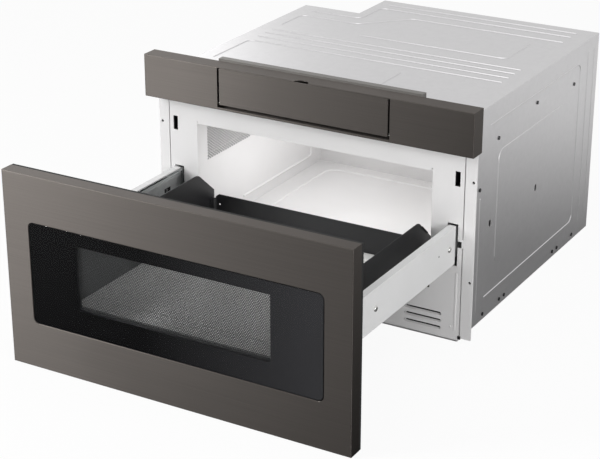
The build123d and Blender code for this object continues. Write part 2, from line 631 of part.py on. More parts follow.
with BuildPart() as top_trim:
    block(-TRIM_WIDTH / 2, TRIM_WIDTH / 2, -TRIM_DEPTH, 0, TRIM_BOTTOM, TRIM_TOP)
    front_edges = top_trim.faces().sort_by(Axis.Y)[0].edges()
    fillet(front_edges, TRIM_CORNER)
    block(
        -TRIM_WIDTH / 2 + PLATE,
        TRIM_WIDTH / 2 - PLATE,
        PLATE - TRIM_DEPTH,
        PLATE,
        TRIM_BOTTOM + PLATE,
        TRIM_TOP - PLATE,
        mode=Mode.SUBTRACT,
    )
    block(
        -PANEL_OPENING_WIDTH / 2,
        PANEL_OPENING_WIDTH / 2,
        -2 * TRIM_DEPTH,
        2 * PLATE - TRIM_DEPTH,
        PANEL_OPENING_BOTTOM,
        PANEL_OPENING_TOP,
        mode=Mode.SUBTRACT,
    )
    with BuildSketch(Plane.XY.offset(PANEL_OPENING_TOP - OVERCUT)):
        with Locations((0, -TRIM_DEPTH)):
            Ellipse(FINGER_NOTCH_WIDTH / 2, FINGER_NOTCH_DEPTH)
    extrude(amount=TRIM_TOP - PANEL_OPENING_TOP + 2 * OVERCUT, mode=Mode.SUBTRACT)
    for side in (-1, 1):
        trim_inner = TRIM_WIDTH / 2 - PLATE
        side_block(side, trim_inner - TRIM_LIP, trim_inner, -PLATE, 0, TRIM_BOTTOM + PLATE, TRIM_TOP - PLATE)
        side_block(
            side,
            HINGE_PLATE_INNER,
            HINGE_PLATE_OUTER,
            PLATE - TRIM_DEPTH,
            0,
            TRIM_BOTTOM + PLATE,
            TRIM_TOP - PLATE,
        )
        near, far = sorted((side * (HINGE_PLATE_INNER - OVERCUT), side * (HINGE_PLATE_OUTER + OVERCUT)))
        rod_x(TILT_PIN_RADIUS + PIN_GAP, near, far, TILT_AXIS_Y, TILT_AXIS_Z, mode=Mode.SUBTRACT)
top_trim.part.label = "top_trim"
export_step(top_trim.part, "parts/top_trim.step")

HOOD_FOOT = 10.0

with BuildPart() as trim_hood:
    block(HOOD_LEFT, HOOD_RIGHT, 0, HOOD_DEPTH, HOOD_TOP - PLATE, HOOD_TOP)
    block(HOOD_LEFT, HOOD_RIGHT, 0, PLATE, TRIM_TOP - PLATE, HOOD_TOP - PLATE)
    block(HOOD_LEFT, HOOD_RIGHT, HOOD_DEPTH - PLATE, HOOD_DEPTH, BODY_HEIGHT, HOOD_TOP - PLATE)
    block(HOOD_LEFT, HOOD_RIGHT, HOOD_DEPTH, HOOD_DEPTH + HOOD_FOOT, BODY_HEIGHT, BODY_HEIGHT + PLATE)
    for x in (HOOD_LEFT, HOOD_RIGHT - PLATE):
        block(x, x + PLATE, PLATE, HOOD_DEPTH - PLATE, BODY_HEIGHT, HOOD_TOP - PLATE)
trim_hood.part.label = "trim_hood"
export_step(trim_hood.part, "parts/trim_hood.step")

# ================================================================ Tilting control panel
HOUSING_FRONT = PANEL_FACE - TRIM_DEPTH
HOUSING_INSET = 4.0
HOUSING_HALF_WIDTH = PANEL_HALF_WIDTH - HOUSING_INSET
HOUSING_WALL = 2.0
HOUSING_BOSS = 6.0
KEYPAD_FRONT_BORDER = 1.5
KEYPAD_REAR_BORDER = 1.0
KEYPAD_SIDE_BORDER = 2.0
KEYPAD_CORNER = 2.0
HOUSING_REAR = HOUSING_FRONT + KEYPAD_FRONT_BORDER + KEYPAD_DEPTH + KEYPAD_REAR_BORDER
HOUSING_FLOOR = PANEL_BOTTOM + 1.0
HOUSING_STEP_Y = -1.5  # the lower part of the housing stays in front of the front frame
HOUSING_STEP_BOTTOM = BODY_HEIGHT + 1.0
HOUSING_STEP_TOP = BODY_HEIGHT + 5.0
HOUSING_TOE_HEIGHT = 7.0
HOUSING_TOE_DEPTH = 4.0
TILT_PIN_SEAT = 12.0
TILT_PIN_INNER = HOUSING_HALF_WIDTH - TILT_PIN_SEAT
FACE_CORNER = 2.0
FACE_EDGE = 0.7

SWING_TOP = TILT_AXIS_Z + (TILT_SWING_RADIUS**2 - (HOUSING_REAR - TILT_AXIS_Y) ** 2) ** 0.5
HOUSING_REAR_TOP = SWING_TOP - KEYPAD_THICKNESS
HOUSING_FRONT_TOP = HOUSING_REAR_TOP + (HOUSING_REAR - HOUSING_FRONT) * tan(radians(KEYPAD_SLOPE))

with BuildPart() as control_panel_face:
    block(-PANEL_HALF_WIDTH, PANEL_HALF_WIDTH, -TRIM_DEPTH, HOUSING_FRONT, PANEL_BOTTOM, PANEL_TOP)
    fillet(control_panel_face.edges().filter_by(Axis.Y), FACE_CORNER)
    fillet(control_panel_face.faces().sort_by(Axis.Y)[0].edges(), FACE_EDGE)
control_panel_face.part.label = "control_panel_face"
export_step(control_panel_face.part, "parts/control_panel_face.step")

HOUSING_OUTLINE = (
    (HOUSING_FRONT, HOUSING_FLOOR),
    (HOUSING_FRONT, HOUSING_FRONT_TOP),
    (HOUSING_REAR, HOUSING_REAR_TOP),
    (HOUSING_REAR, HOUSING_STEP_TOP),
    (HOUSING_STEP_Y, HOUSING_STEP_BOTTOM),
    (HOUSING_STEP_Y, PANEL_BOTTOM + HOUSING_TOE_HEIGHT),
    (HOUSING_STEP_Y - HOUSING_TOE_DEPTH, HOUSING_FLOOR),
)

with BuildPart() as control_panel_housing:
    with BuildSketch(Plane.YZ.offset(-HOUSING_HALF_WIDTH)):
        Polygon(*HOUSING_OUTLINE, align=None)
    extrude(amount=2 * HOUSING_HALF_WIDTH)
    housing_inner = HOUSING_HALF_WIDTH - HOUSING_WALL
    with BuildSketch(Plane.YZ.offset(-housing_inner)):
        Polygon(*HOUSING_OUTLINE, align=None)
        offset(amount=-HOUSING_WALL, mode=Mode.REPLACE)
    extrude(amount=2 * housing_inner, mode=Mode.SUBTRACT)
    block(
        -housing_inner,
        housing_inner,
        HOUSING_FRONT - OVERCUT,
        HOUSING_FRONT + 2 * HOUSING_WALL,
        HOUSING_FLOOR + HOUSING_WALL,
        HOUSING_FRONT_TOP - 2 * HOUSING_WALL,
        mode=Mode.SUBTRACT,
    )
    for side in (-1, 1):
        side_block(
            side,
            TILT_PIN_INNER,
            HOUSING_HALF_WIDTH,
            HOUSING_FRONT,
            HOUSING_FRONT + HOUSING_BOSS,
            HOUSING_FLOOR,
            HOUSING_FLOOR + HOUSING_BOSS,
        )
        inner, outer = sorted((side * TILT_PIN_INNER, side * (HOUSING_HALF_WIDTH + OVERCUT)))
        rod_x(TILT_PIN_RADIUS, inner, outer, TILT_AXIS_Y, TILT_AXIS_Z, mode=Mode.SUBTRACT)
control_panel_housing.part.label = "control_panel_housing"
export_step(control_panel_housing.part, "parts/control_panel_housing.step")

KEYPAD_PLANE = Plane(
    origin=(0, (HOUSING_FRONT + HOUSING_REAR) / 2, (HOUSING_FRONT_TOP + HOUSING_REAR_TOP) / 2),
    x_dir=(1, 0, 0),
    z_dir=(0, sin(radians(KEYPAD_SLOPE)), cos(radians(KEYPAD_SLOPE))),
)

with BuildPart() as touch_keypad:
    with BuildSketch(KEYPAD_PLANE):
        keypad_width = 2 * (HOUSING_HALF_WIDTH - KEYPAD_SIDE_BORDER)
        RectangleRounded(keypad_width, KEYPAD_DEPTH - 2 * KEYPAD_REAR_BORDER, KEYPAD_CORNER)
    extrude(amount=KEYPAD_THICKNESS)
touch_keypad.part.label = "touch_keypad"
export_step(touch_keypad.part, "parts/touch_keypad.step")

GEARBOX_LENGTH = 44.0
GEARBOX_HEIGHT = 30.0
TILT_MOTOR_RADIUS = 8.0
TILT_PIN_REACH = 4.0  # into the gearbox
TILT_BORE_DEPTH = 6.0

with BuildPart() as panel_hinge_pins:
    for side in (-1, 1):
        inner, outer = sorted((side * TILT_PIN_INNER, side * (HINGE_PLATE_OUTER + TILT_PIN_REACH)))
        rod_x(TILT_PIN_RADIUS, inner, outer, TILT_AXIS_Y, TILT_AXIS_Z)
panel_hinge_pins.part.label = "panel_hinge_pins"
export_step(panel_hinge_pins.part, "parts/panel_hinge_pins.step")

with BuildPart() as panel_gearmotor:
    block(
        -HINGE_PLATE_OUTER - GEARBOX_LENGTH,
        -HINGE_PLATE_OUTER,
        PLATE - TRIM_DEPTH,
        -PLATE,
        TRIM_BOTTOM + PLATE,
        TRIM_BOTTOM + PLATE + GEARBOX_HEIGHT,
    )
    rod_z(
        TILT_MOTOR_RADIUS,
        -HINGE_PLATE_OUTER - GEARBOX_LENGTH / 2,
        -TRIM_DEPTH / 2,
        TRIM_BOTTOM + PLATE + GEARBOX_HEIGHT,
        TRIM_TOP - 2 * PLATE,
    )
    rod_x(
        TILT_PIN_RADIUS + PIN_GAP,
        -HINGE_PLATE_OUTER - TILT_BORE_DEPTH,
        -HINGE_PLATE_OUTER + OVERCUT,
        TILT_AXIS_Y,
        TILT_AXIS_Z,
        mode=Mode.SUBTRACT,
    )
panel_gearmotor.part.label = "panel_gearmotor"
export_step(panel_gearmotor.part, "parts/panel_gearmotor.step")

# ================================================================ Cavity
WALL_BEAD_Z = 105.0
WALL_BEAD_FRONT = 143.0
WALL_BEAD_REAR = CAVITY_DEPTH - 36.0
WALL_BEAD_TOP = 200.0
WALL_BEAD_WIDTH = 6.0
WALL_BEAD_HEIGHT = 2.0
FLOOR_BEAD_X = CAVITY_SIDE - 38.0
FLOOR_BEAD_FRONT = 60.0
FLOOR_BEAD_REAR = CAVITY_DEPTH - 30.0
FLOOR_BEAD_CORNER = 26.0

with BuildPart() as cavity_shell:
    wall_bottom = CAVITY_FLOOR + SEAM_GAP
    wall_top = CAVITY_CEILING - SEAM_GAP
    rear_side = CAVITY_SIDE - SEAM_GAP
    block(-CAVITY_OUTER, CAVITY_OUTER, PLATE, CAVITY_REAR, CAVITY_BOTTOM, CAVITY_FLOOR)
    block(-CAVITY_OUTER, CAVITY_OUTER, PLATE, CAVITY_REAR, CAVITY_CEILING, CAVITY_TOP)
    block(-rear_side, rear_side, CAVITY_DEPTH, CAVITY_REAR, wall_bottom, wall_top)
    for side in (-1, 1):
        side_block(side, CAVITY_SIDE, CAVITY_OUTER, PLATE, CAVITY_REAR, wall_bottom, wall_top)
    block(
        -CAVITY_OUTER - OVERCUT,
        -CAVITY_SIDE + OVERCUT,
        VENT_FRONT,
        VENT_FRONT + VENT_LENGTH,
        VENT_BOTTOM,
        VENT_BOTTOM + VENT_HEIGHT,
        mode=Mode.SUBTRACT,
    )
    rod_z(FEED_RADIUS, STIRRER_X, STIRRER_Y, CAVITY_CEILING - SHEET, CAVITY_TOP + SHEET, mode=Mode.SUBTRACT)
    for side in (-1, 1):
        with BuildSketch(side_plane(-side, -CAVITY_SIDE)):
            with BuildLine():
                FilletPolyline(
                    (-side * WALL_BEAD_FRONT, WALL_BEAD_Z),
                    (-side * WALL_BEAD_REAR, WALL_BEAD_Z),
                    (-side * WALL_BEAD_REAR, WALL_BEAD_TOP),
                    radius=BEAD_CORNER / 2,
                )
            trace(line_width=WALL_BEAD_WIDTH)
        extrude(amount=WALL_BEAD_HEIGHT, taper=BEAD_SLOPE)
    with BuildSketch(Plane.XY.offset(CAVITY_FLOOR)):
        with BuildLine():
            FilletPolyline(
                (-FLOOR_BEAD_X, FLOOR_BEAD_FRONT),
                (-FLOOR_BEAD_X, FLOOR_BEAD_REAR),
                (FLOOR_BEAD_X, FLOOR_BEAD_REAR),
                (FLOOR_BEAD_X, FLOOR_BEAD_FRONT),
                radius=FLOOR_BEAD_CORNER,
            )
        trace(line_width=WALL_BEAD_WIDTH)
    extrude(amount=WALL_BEAD_HEIGHT, taper=BEAD_SLOPE)
cavity_shell.part.label = "cavity_shell"
export_step(cavity_shell.part, "parts/cavity_shell.step")

with BuildPart() as vent_screen:
    with BuildSketch(side_plane(-1, CAVITY_SIDE)):
        with Locations((-(VENT_FRONT + VENT_LENGTH / 2), VENT_BOTTOM + VENT_HEIGHT / 2)):
            Rectangle(VENT_LENGTH, VENT_HEIGHT)
            columns = int((VENT_LENGTH - VENT_PITCH_Y / 2) / VENT_PITCH_Y)
            rows = int((VENT_HEIGHT - VENT_PITCH_Z / 2) / VENT_PITCH_Z)
            with GridLocations(VENT_PITCH_Y, VENT_PITCH_Z, columns, rows):
                Circle(VENT_HOLE_RADIUS, mode=Mode.SUBTRACT)
            with GridLocations(VENT_PITCH_Y, VENT_PITCH_Z, columns - 1, rows - 1):
                Circle(VENT_HOLE_RADIUS, mode=Mode.SUBTRACT)
    extrude(amount=SHEET)
vent_screen.part.label = "vent_screen"
export_step(vent_screen.part, "parts/vent_screen.step")

STIRRER_COVER_SIZE = 150.0
STIRRER_COVER_BOTTOM = 268.0
STIRRER_COVER_WALL = 2.0
STIRRER_BLADE_Z = 276.0
STIRRER_PADDLE = 2.0
STIRRER_HUB_RADIUS = 9.0
STIRRER_HUB_HEIGHT = 6.0
STIRRER_PADDLE_WIDTH = 26.0
STIRRER_PADDLE_TWIST = 12.0
STIRRER_PADDLES = 4
STIRRER_COVER_CORNER = 12.0

with BuildPart() as stirrer_cover:
    half = STIRRER_COVER_SIZE / 2
    block(
        STIRRER_X - half,
        STIRRER_X + half,
        STIRRER_Y - half,
        STIRRER_Y + half,
        STIRRER_COVER_BOTTOM,
        CAVITY_CEILING,
    )
    fillet(stirrer_cover.edges().filter_by(Axis.Z), STIRRER_COVER_CORNER)
    inner = half - STIRRER_COVER_WALL
    block(
        STIRRER_X - inner,
        STIRRER_X + inner,
        STIRRER_Y - inner,
        STIRRER_Y + inner,
        STIRRER_COVER_BOTTOM + STIRRER_COVER_WALL,
        CAVITY_CEILING + OVERCUT,
        mode=Mode.SUBTRACT,
    )
stirrer_cover.part.label = "stirrer_cover"
export_step(stirrer_cover.part, "parts/stirrer_cover.step")

WAVEGUIDE_FRONT = STIRRER_Y - FEED_RADIUS - WAVEGUIDE_FRONT_MARGIN
WAVEGUIDE_REAR = MAGNETRON_Y + WAVEGUIDE_REAR_MARGIN
WAVEGUIDE_TOP = CAVITY_TOP + WAVEGUIDE_HEIGHT
WAVEGUIDE_INNER = WAVEGUIDE_WIDTH / 2 - SHEET
STIRRER_MOTOR_RADIUS = 24.0
STIRRER_MOTOR_HEIGHT = 16.0
STIRRER_SHAFT_TOP = WAVEGUIDE_TOP + 8.0
STIRRER_BORE_TOP = WAVEGUIDE_TOP + 9.6
STIRRER_EAR_REACH = 33.6
STIRRER_EAR_WIDTH = 16.0

with BuildPart() as waveguide:
    block(
        STIRRER_X - WAVEGUIDE_WIDTH / 2,
        STIRRER_X + WAVEGUIDE_WIDTH / 2,
        WAVEGUIDE_FRONT,
        WAVEGUIDE_REAR,
        CAVITY_TOP,
        WAVEGUIDE_TOP,
    )
    block(
        STIRRER_X - WAVEGUIDE_INNER,
        STIRRER_X + WAVEGUIDE_INNER,
        WAVEGUIDE_FRONT + SHEET,
        WAVEGUIDE_REAR - SHEET,
        CAVITY_TOP + SHEET,
        WAVEGUIDE_TOP - SHEET,
        mode=Mode.SUBTRACT,
    )
    floor_low = CAVITY_TOP - OVERCUT
    floor_high = CAVITY_TOP + 2 * SHEET
    rod_z(FEED_RADIUS, STIRRER_X, STIRRER_Y, floor_low, floor_high, mode=Mode.SUBTRACT)
    rod_z(2 * ANTENNA_RADIUS, STIRRER_X, MAGNETRON_Y, floor_low, floor_high, mode=Mode.SUBTRACT)
    rod_z(
        STIRRER_SHAFT_RADIUS + PIN_GAP,
        STIRRER_X,
        STIRRER_Y,
        WAVEGUIDE_TOP - 2 * SHEET,
        WAVEGUIDE_TOP + OVERCUT,
        mode=Mode.SUBTRACT,
    )
waveguide.part.label = "waveguide"
export_step(waveguide.part, "parts/waveguide.step")

with BuildPart() as stirrer_motor:
    rod_z(STIRRER_MOTOR_RADIUS, STIRRER_X, STIRRER_Y, WAVEGUIDE_TOP, WAVEGUIDE_TOP + STIRRER_MOTOR_HEIGHT)
    block(
        STIRRER_X - STIRRER_EAR_REACH,
        STIRRER_X + STIRRER_EAR_REACH,
        STIRRER_Y - STIRRER_EAR_WIDTH / 2,
        STIRRER_Y + STIRRER_EAR_WIDTH / 2,
        WAVEGUIDE_TOP,
        WAVEGUIDE_TOP + SHEET,
    )
    rod_z(
        STIRRER_SHAFT_RADIUS + PIN_GAP,
        STIRRER_X,
        STIRRER_Y,
        WAVEGUIDE_TOP - OVERCUT,
        STIRRER_BORE_TOP,
        mode=Mode.SUBTRACT,
    )
stirrer_motor.part.label = "stirrer_motor"
export_step(stirrer_motor.part, "parts/stirrer_motor.step")

with BuildPart() as stirrer_blade:
    rod_z(STIRRER_SHAFT_RADIUS, STIRRER_X, STIRRER_Y, STIRRER_BLADE_Z, STIRRER_SHAFT_TOP)
    rod_z(STIRRER_HUB_RADIUS, STIRRER_X, STIRRER_Y, STIRRER_BLADE_Z, STIRRER_BLADE_Z + STIRRER_HUB_HEIGHT)
    with Locations((STIRRER_X, STIRRER_Y, STIRRER_BLADE_Z + STIRRER_HUB_HEIGHT / 2)):
        with PolarLocations(STIRRER_RADIUS / 2, STIRRER_PADDLES):
            Box(STIRRER_RADIUS, STIRRER_PADDLE_WIDTH, STIRRER_PADDLE, rotation=(STIRRER_PADDLE_TWIST, 0, 0))
stirrer_blade.part.label = "stirrer_blade"
export_step(stirrer_blade.part, "parts/stirrer_blade.step")

# ================================================================ Magnetron, power supply and cooling
MAGNETRON_HALF_WIDTH = 45.0
MAGNETRON_FINS = 8
MAGNETRON_BOTTOM = CAVITY_TOP - MAGNETRON_HEIGHT
MAGNETRON_CORE_RADIUS = 20.0
FIN_END_MARGIN = 15.0
FIN_INSET = 6.0
FIN_THICKNESS = 0.8
ANTENNA_TOP = CAVITY_TOP + 23.4
FILAMENT_BOX_WIDTH = 36.0
FILAMENT_BOX_DEPTH = 44.0
FILAMENT_BOX_HEIGHT = 22.0

with BuildPart() as magnetron:
    front = MAGNETRON_Y - MAGNETRON_DEPTH / 2
    rear = MAGNETRON_Y + MAGNETRON_DEPTH / 2
    left = STIRRER_X - MAGNETRON_HALF_WIDTH
    right = STIRRER_X + MAGNETRON_HALF_WIDTH
    block(left, right, front, rear, MAGNETRON_BOTTOM, CAVITY_TOP)
    block(
        left + 2 * PLATE,
        right - 2 * PLATE,
        front - OVERCUT,
        rear + OVERCUT,
        MAGNETRON_BOTTOM + 2 * PLATE,
        CAVITY_TOP - 2 * PLATE,
        mode=Mode.SUBTRACT,
    )
    rod_z(MAGNETRON_CORE_RADIUS, STIRRER_X, MAGNETRON_Y, MAGNETRON_BOTTOM + PLATE, CAVITY_TOP - PLATE)
    fin_pitch = (MAGNETRON_HEIGHT - 2 * FIN_END_MARGIN) / MAGNETRON_FINS
    for i in range(MAGNETRON_FINS):
        fin_z = MAGNETRON_BOTTOM + FIN_END_MARGIN + (i + 0.5) * fin_pitch
        block(left + PLATE, right - PLATE, front + FIN_INSET, rear - FIN_INSET, fin_z, fin_z + FIN_THICKNESS)
    rod_z(ANTENNA_RADIUS, STIRRER_X, MAGNETRON_Y, CAVITY_TOP - PLATE, ANTENNA_TOP)
    block(
        STIRRER_X - FILAMENT_BOX_WIDTH / 2,
        STIRRER_X + FILAMENT_BOX_WIDTH / 2,
        MAGNETRON_Y - FILAMENT_BOX_DEPTH / 2,
        MAGNETRON_Y + FILAMENT_BOX_DEPTH / 2,
        MAGNETRON_BOTTOM - FILAMENT_BOX_HEIGHT,
        MAGNETRON_BOTTOM,
    )
magnetron.part.label = "magnetron"
export_step(magnetron.part, "parts/magnetron.step")


def upright_block(x, y, width, depth, z0, z1, mode=Mode.ADD):
    """Adds or cuts a box that stands on a plan centre."""
    block(x - width / 2, x + width / 2, y - depth / 2, y + depth / 2, z0, z1, mode=mode)


TRANSFORMER_X = SIDE_X - 63.5
TRANSFORMER_Y = BODY_DEPTH - 70.0
TRANSFORMER_TOP = 92.0
CORE_WIDTH = 92.0
CORE_DEPTH = 64.0
CORE_WINDOW_X = 23.0
CORE_WINDOW_WIDTH = 16.0
CORE_WINDOW_BOTTOM = 24.0
CORE_WINDOW_TOP = TRANSFORMER_TOP - 16.0
WINDING_WIDTH = 60.0
WINDING_DEPTH = 88.0
WINDING_SPLIT = 49.0
WINDING_GAP = 1.0
WINDING_END_GAP = 0.5
TRANSFORMER_FOOT_WIDTH = 100.0
TRANSFORMER_FOOT_DEPTH = 72.0
TRANSFORMER_FOOT_TOP = SHEET + 3.0

with BuildPart() as hv_transformer:
    upright_block(TRANSFORMER_X, TRANSFORMER_Y, CORE_WIDTH, CORE_DEPTH, SHEET, TRANSFORMER_TOP)
    for side in (-1, 1):
        upright_block(
            TRANSFORMER_X + side * CORE_WINDOW_X,
            TRANSFORMER_Y,
            CORE_WINDOW_WIDTH,
            CORE_DEPTH + 2 * OVERCUT,
            CORE_WINDOW_BOTTOM,
            CORE_WINDOW_TOP,
            mode=Mode.SUBTRACT,
        )
    for low, high in (
        (CORE_WINDOW_BOTTOM + WINDING_END_GAP, WINDING_SPLIT - WINDING_GAP),
        (WINDING_SPLIT + WINDING_GAP, CORE_WINDOW_TOP - WINDING_END_GAP),
    ):
        upright_block(TRANSFORMER_X, TRANSFORMER_Y, WINDING_WIDTH, WINDING_DEPTH, low, high)
    upright_block(
        TRANSFORMER_X,
        TRANSFORMER_Y,
        TRANSFORMER_FOOT_WIDTH,
        TRANSFORMER_FOOT_DEPTH,
        SHEET,
        TRANSFORMER_FOOT_TOP,
    )
hv_transformer.part.label = "hv_transformer"
export_step(hv_transformer.part, "parts/hv_transformer.step")

CAPACITOR_X = 78.0
CAPACITOR_Y = CAVITY_REAR + 54.0
CAPACITOR_WIDTH = 52.0
CAPACITOR_DEPTH = 34.0
CAPACITOR_HEIGHT = 96.0
CLAMP_BOTTOM = 31.0
CLAMP_HEIGHT = 12.0
CLAMP_SHEET = 1.5
CLAMP_LEG_OFFSET = 29.5
CLAMP_LEG_LENGTH = 9.0
CLAMP_LEG_WIDTH = 16.0
TERMINAL_SPACING = 20.0
TERMINAL_RADIUS = 3.0
TERMINAL_HEIGHT = 9.0

with BuildPart() as hv_capacitor:
    with BuildSketch(Plane.XY.offset(SHEET)):
        with Locations((CAPACITOR_X, CAPACITOR_Y)):
            SlotOverall(CAPACITOR_WIDTH, CAPACITOR_DEPTH)
    extrude(amount=CAPACITOR_HEIGHT)
    with BuildSketch(Plane.XY.offset(CLAMP_BOTTOM)):
        with Locations((CAPACITOR_X, CAPACITOR_Y)):
            SlotOverall(CAPACITOR_WIDTH + 2 * CLAMP_SHEET, CAPACITOR_DEPTH + 2 * CLAMP_SHEET)
    extrude(amount=CLAMP_HEIGHT)
    upright_block(
        CAPACITOR_X - CLAMP_LEG_OFFSET,
        CAPACITOR_Y,
        CLAMP_LEG_LENGTH,
        CLAMP_LEG_WIDTH,
        SHEET,
        CLAMP_BOTTOM + CLAMP_HEIGHT,
    )
    for side in (-1, 1):
        terminal_x = CAPACITOR_X + side * TERMINAL_SPACING / 2
        terminal_top = SHEET + CAPACITOR_HEIGHT + TERMINAL_HEIGHT
        rod_z(TERMINAL_RADIUS, terminal_x, CAPACITOR_Y, CAPACITOR_HEIGHT, terminal_top)
hv_capacitor.part.label = "hv_capacitor"
export_step(hv_capacitor.part, "parts/hv_capacitor.step")

FAN_REAR = BODY_DEPTH - SHEET
FAN_FRONT = FAN_REAR - FAN_SHROUD_DEPTH
FAN_MOTOR_RADIUS = 24.0
FAN_MOTOR_LENGTH = 40.0
FAN_MOTOR_REAR = FAN_FRONT - 22.0
FAN_MOTOR_FRONT = FAN_MOTOR_REAR - FAN_MOTOR_LENGTH
FAN_MOTOR_EDGE = 4.0
FAN_SHAFT_FRONT = FAN_MOTOR_FRONT + 16.0
SHROUD_CORNER = 8.0
SPIDER_ARM = 14.0
SPIDER_INSET = 10.0
SPIDER_BORE_RADIUS = 4.5
STRUT_RADIUS = 2.5
STRUT_INSET = 12.5
STRUT_PAD_INSET = 7.0
STRUT_PAD_LENGTH = 14.0
STRUT_PAD_WIDTH = 10.0
STRUT_PAD_SHEET = 2.0
FAN_BLADE_MARGIN = 4.0
FAN_HUB_RADIUS = 14.0
FAN_BLADE_ROOT = 10.0
FAN_BLADE_TIP = FAN_RADIUS - 2.0
FAN_BLADE_CHORD = 24.0
FAN_BLADE_SHEET = 1.6
FAN_BLADE_PITCH = 28.0

with BuildPart() as fan_shroud:
    half = FAN_SHROUD_SIZE / 2
    block(FAN_X - half, FAN_X + half, FAN_FRONT, FAN_REAR, FAN_Z - half, FAN_Z + half)
    fillet(fan_shroud.edges().filter_by(Axis.Y), SHROUD_CORNER)
    rod_y(FAN_RADIUS + FAN_TIP_GAP, FAN_X, FAN_FRONT - OVERCUT, FAN_REAR + OVERCUT, FAN_Z, mode=Mode.SUBTRACT)
    with BuildSketch(front_plane(FAN_MOTOR_REAR)):
        with Locations((FAN_X, FAN_Z)):
            Rectangle(FAN_SHROUD_SIZE - 2 * SPIDER_INSET, SPIDER_ARM)
            Rectangle(SPIDER_ARM, FAN_SHROUD_SIZE - 2 * SPIDER_INSET)
            Circle(FAN_MOTOR_RADIUS)
            Circle(SPIDER_BORE_RADIUS, mode=Mode.SUBTRACT)
    extrude(amount=-PLATE)
    for dx, dz in ((-1, 0), (1, 0), (0, -1), (0, 1)):
        strut_reach = half - STRUT_INSET
        pad_reach = half - STRUT_PAD_INSET
        pad_width = STRUT_PAD_LENGTH if dx else STRUT_PAD_WIDTH
        pad_height = STRUT_PAD_LENGTH if dz else STRUT_PAD_WIDTH
        rod_y(STRUT_RADIUS, FAN_X + dx * strut_reach, FAN_MOTOR_REAR, FAN_FRONT, FAN_Z + dz * strut_reach)
        with Locations((FAN_X + dx * pad_reach, FAN_FRONT + STRUT_PAD_SHEET / 2, FAN_Z + dz * pad_reach)):
            Box(pad_width, STRUT_PAD_SHEET, pad_height)
fan_shroud.part.label = "fan_shroud"
export_step(fan_shroud.part, "parts/fan_shroud.step")

with BuildPart() as fan_motor:
    rod_y(FAN_MOTOR_RADIUS, FAN_X, FAN_MOTOR_FRONT, FAN_MOTOR_REAR, FAN_Z)
    fillet(fan_motor.faces().sort_by(Axis.Y)[0].edges(), FAN_MOTOR_EDGE)
    rod_y(
        FAN_SHAFT_RADIUS + PIN_GAP,
        FAN_X,
        FAN_SHAFT_FRONT - OVERCUT,
        FAN_MOTOR_REAR + OVERCUT,
        FAN_Z,
        mode=Mode.SUBTRACT,
    )
fan_motor.part.label = "fan_motor"
export_step(fan_motor.part, "parts/fan_motor.step")

with BuildPart() as fan_blade:
    rod_y(FAN_SHAFT_RADIUS, FAN_X, FAN_SHAFT_FRONT, FAN_REAR - FAN_BLADE_MARGIN, FAN_Z)
    rod_y(FAN_HUB_RADIUS, FAN_X, FAN_FRONT + FAN_BLADE_MARGIN, FAN_REAR - FAN_BLADE_MARGIN, FAN_Z)
    hub = Plane(origin=(FAN_X, (FAN_FRONT + FAN_REAR) / 2, FAN_Z), x_dir=(1, 0, 0), z_dir=(0, -1, 0))
    with Locations(hub):
        with PolarLocations((FAN_BLADE_ROOT + FAN_BLADE_TIP) / 2, FAN_BLADES):
            blade_length = FAN_BLADE_TIP - FAN_BLADE_ROOT
            Box(blade_length, FAN_BLADE_CHORD, FAN_BLADE_SHEET, rotation=(FAN_BLADE_PITCH, 0, 0))
fan_blade.part.label = "fan_blade"
export_step(fan_blade.part, "parts/fan_blade.step")

BOARD_SHEET = 1.6
STANDOFF_RADIUS = 3.0


def add_board(x, y, width, depth, seat, height, inset):
    """Adds a circuit board on four standoffs."""
    upright_block(x, y, width, depth, height, height + BOARD_SHEET)
    for dx in (-1, 1):
        for dy in (-1, 1):
            rod_z(STANDOFF_RADIUS, x + dx * (width / 2 - inset), y + dy * (depth / 2 - inset), seat, height)


FILTER_X = STEP_X + 54.5
FILTER_Y = CAVITY_REAR + 66.0
FILTER_BOARD_Z = 13.0
FILTER_WIDTH = 76.0
FILTER_DEPTH = 84.0
FILTER_STANDOFF_INSET = 6.0
COIL_RADIUS = 17.0
COIL_TOP = 33.0
COIL_OFFSET = (-10.0, 12.0)
FILM_CAPACITOR = (21.0, 2.0, 18.0, 44.0, 37.0)  # x, y from the board's middle, width, depth, top
TERMINAL_BLOCK = (-14.0, -24.0, 32.0, 20.0, 29.0)

with BuildPart() as noise_filter:
    add_board(FILTER_X, FILTER_Y, FILTER_WIDTH, FILTER_DEPTH, SHEET, FILTER_BOARD_Z, FILTER_STANDOFF_INSET)
    filter_top = FILTER_BOARD_Z + BOARD_SHEET
    rod_z(COIL_RADIUS, FILTER_X + COIL_OFFSET[0], FILTER_Y + COIL_OFFSET[1], filter_top, COIL_TOP)
    for dx, dy, width, depth, top in (FILM_CAPACITOR, TERMINAL_BLOCK):
        upright_block(FILTER_X + dx, FILTER_Y + dy, width, depth, filter_top, top)
noise_filter.part.label = "noise_filter"
export_step(noise_filter.part, "parts/noise_filter.step")

BOARD_X = 112.0 - CAVITY_OUTER
BOARD_Y = 110.0
BOARD_Z = CAVITY_TOP + 10.0
BOARD_WIDTH = 180.0
BOARD_DEPTH = 120.0
BOARD_STANDOFF_INSET = 8.0
BOARD_TRANSFORMER = (-52.5, 10.0, 45.0, 40.0, 34.0)  # x, y from the board's middle, width, depth, height
BOARD_SOCKET = (30.0, -33.0, 40.0, 14.0, 12.0)
RELAY_COUNT = 4
RELAY_PITCH = 22.0
RELAY = (-2.0, 35.0, 16.0, 22.0, 17.0)
BOARD_CAPACITOR_COUNT = 3
BOARD_CAPACITOR_PITCH = 16.0
BOARD_CAPACITOR_RADIUS = 6.0
BOARD_CAPACITOR_HEIGHT = 22.0
BOARD_CAPACITOR_OFFSET = (-60.0, -36.0)

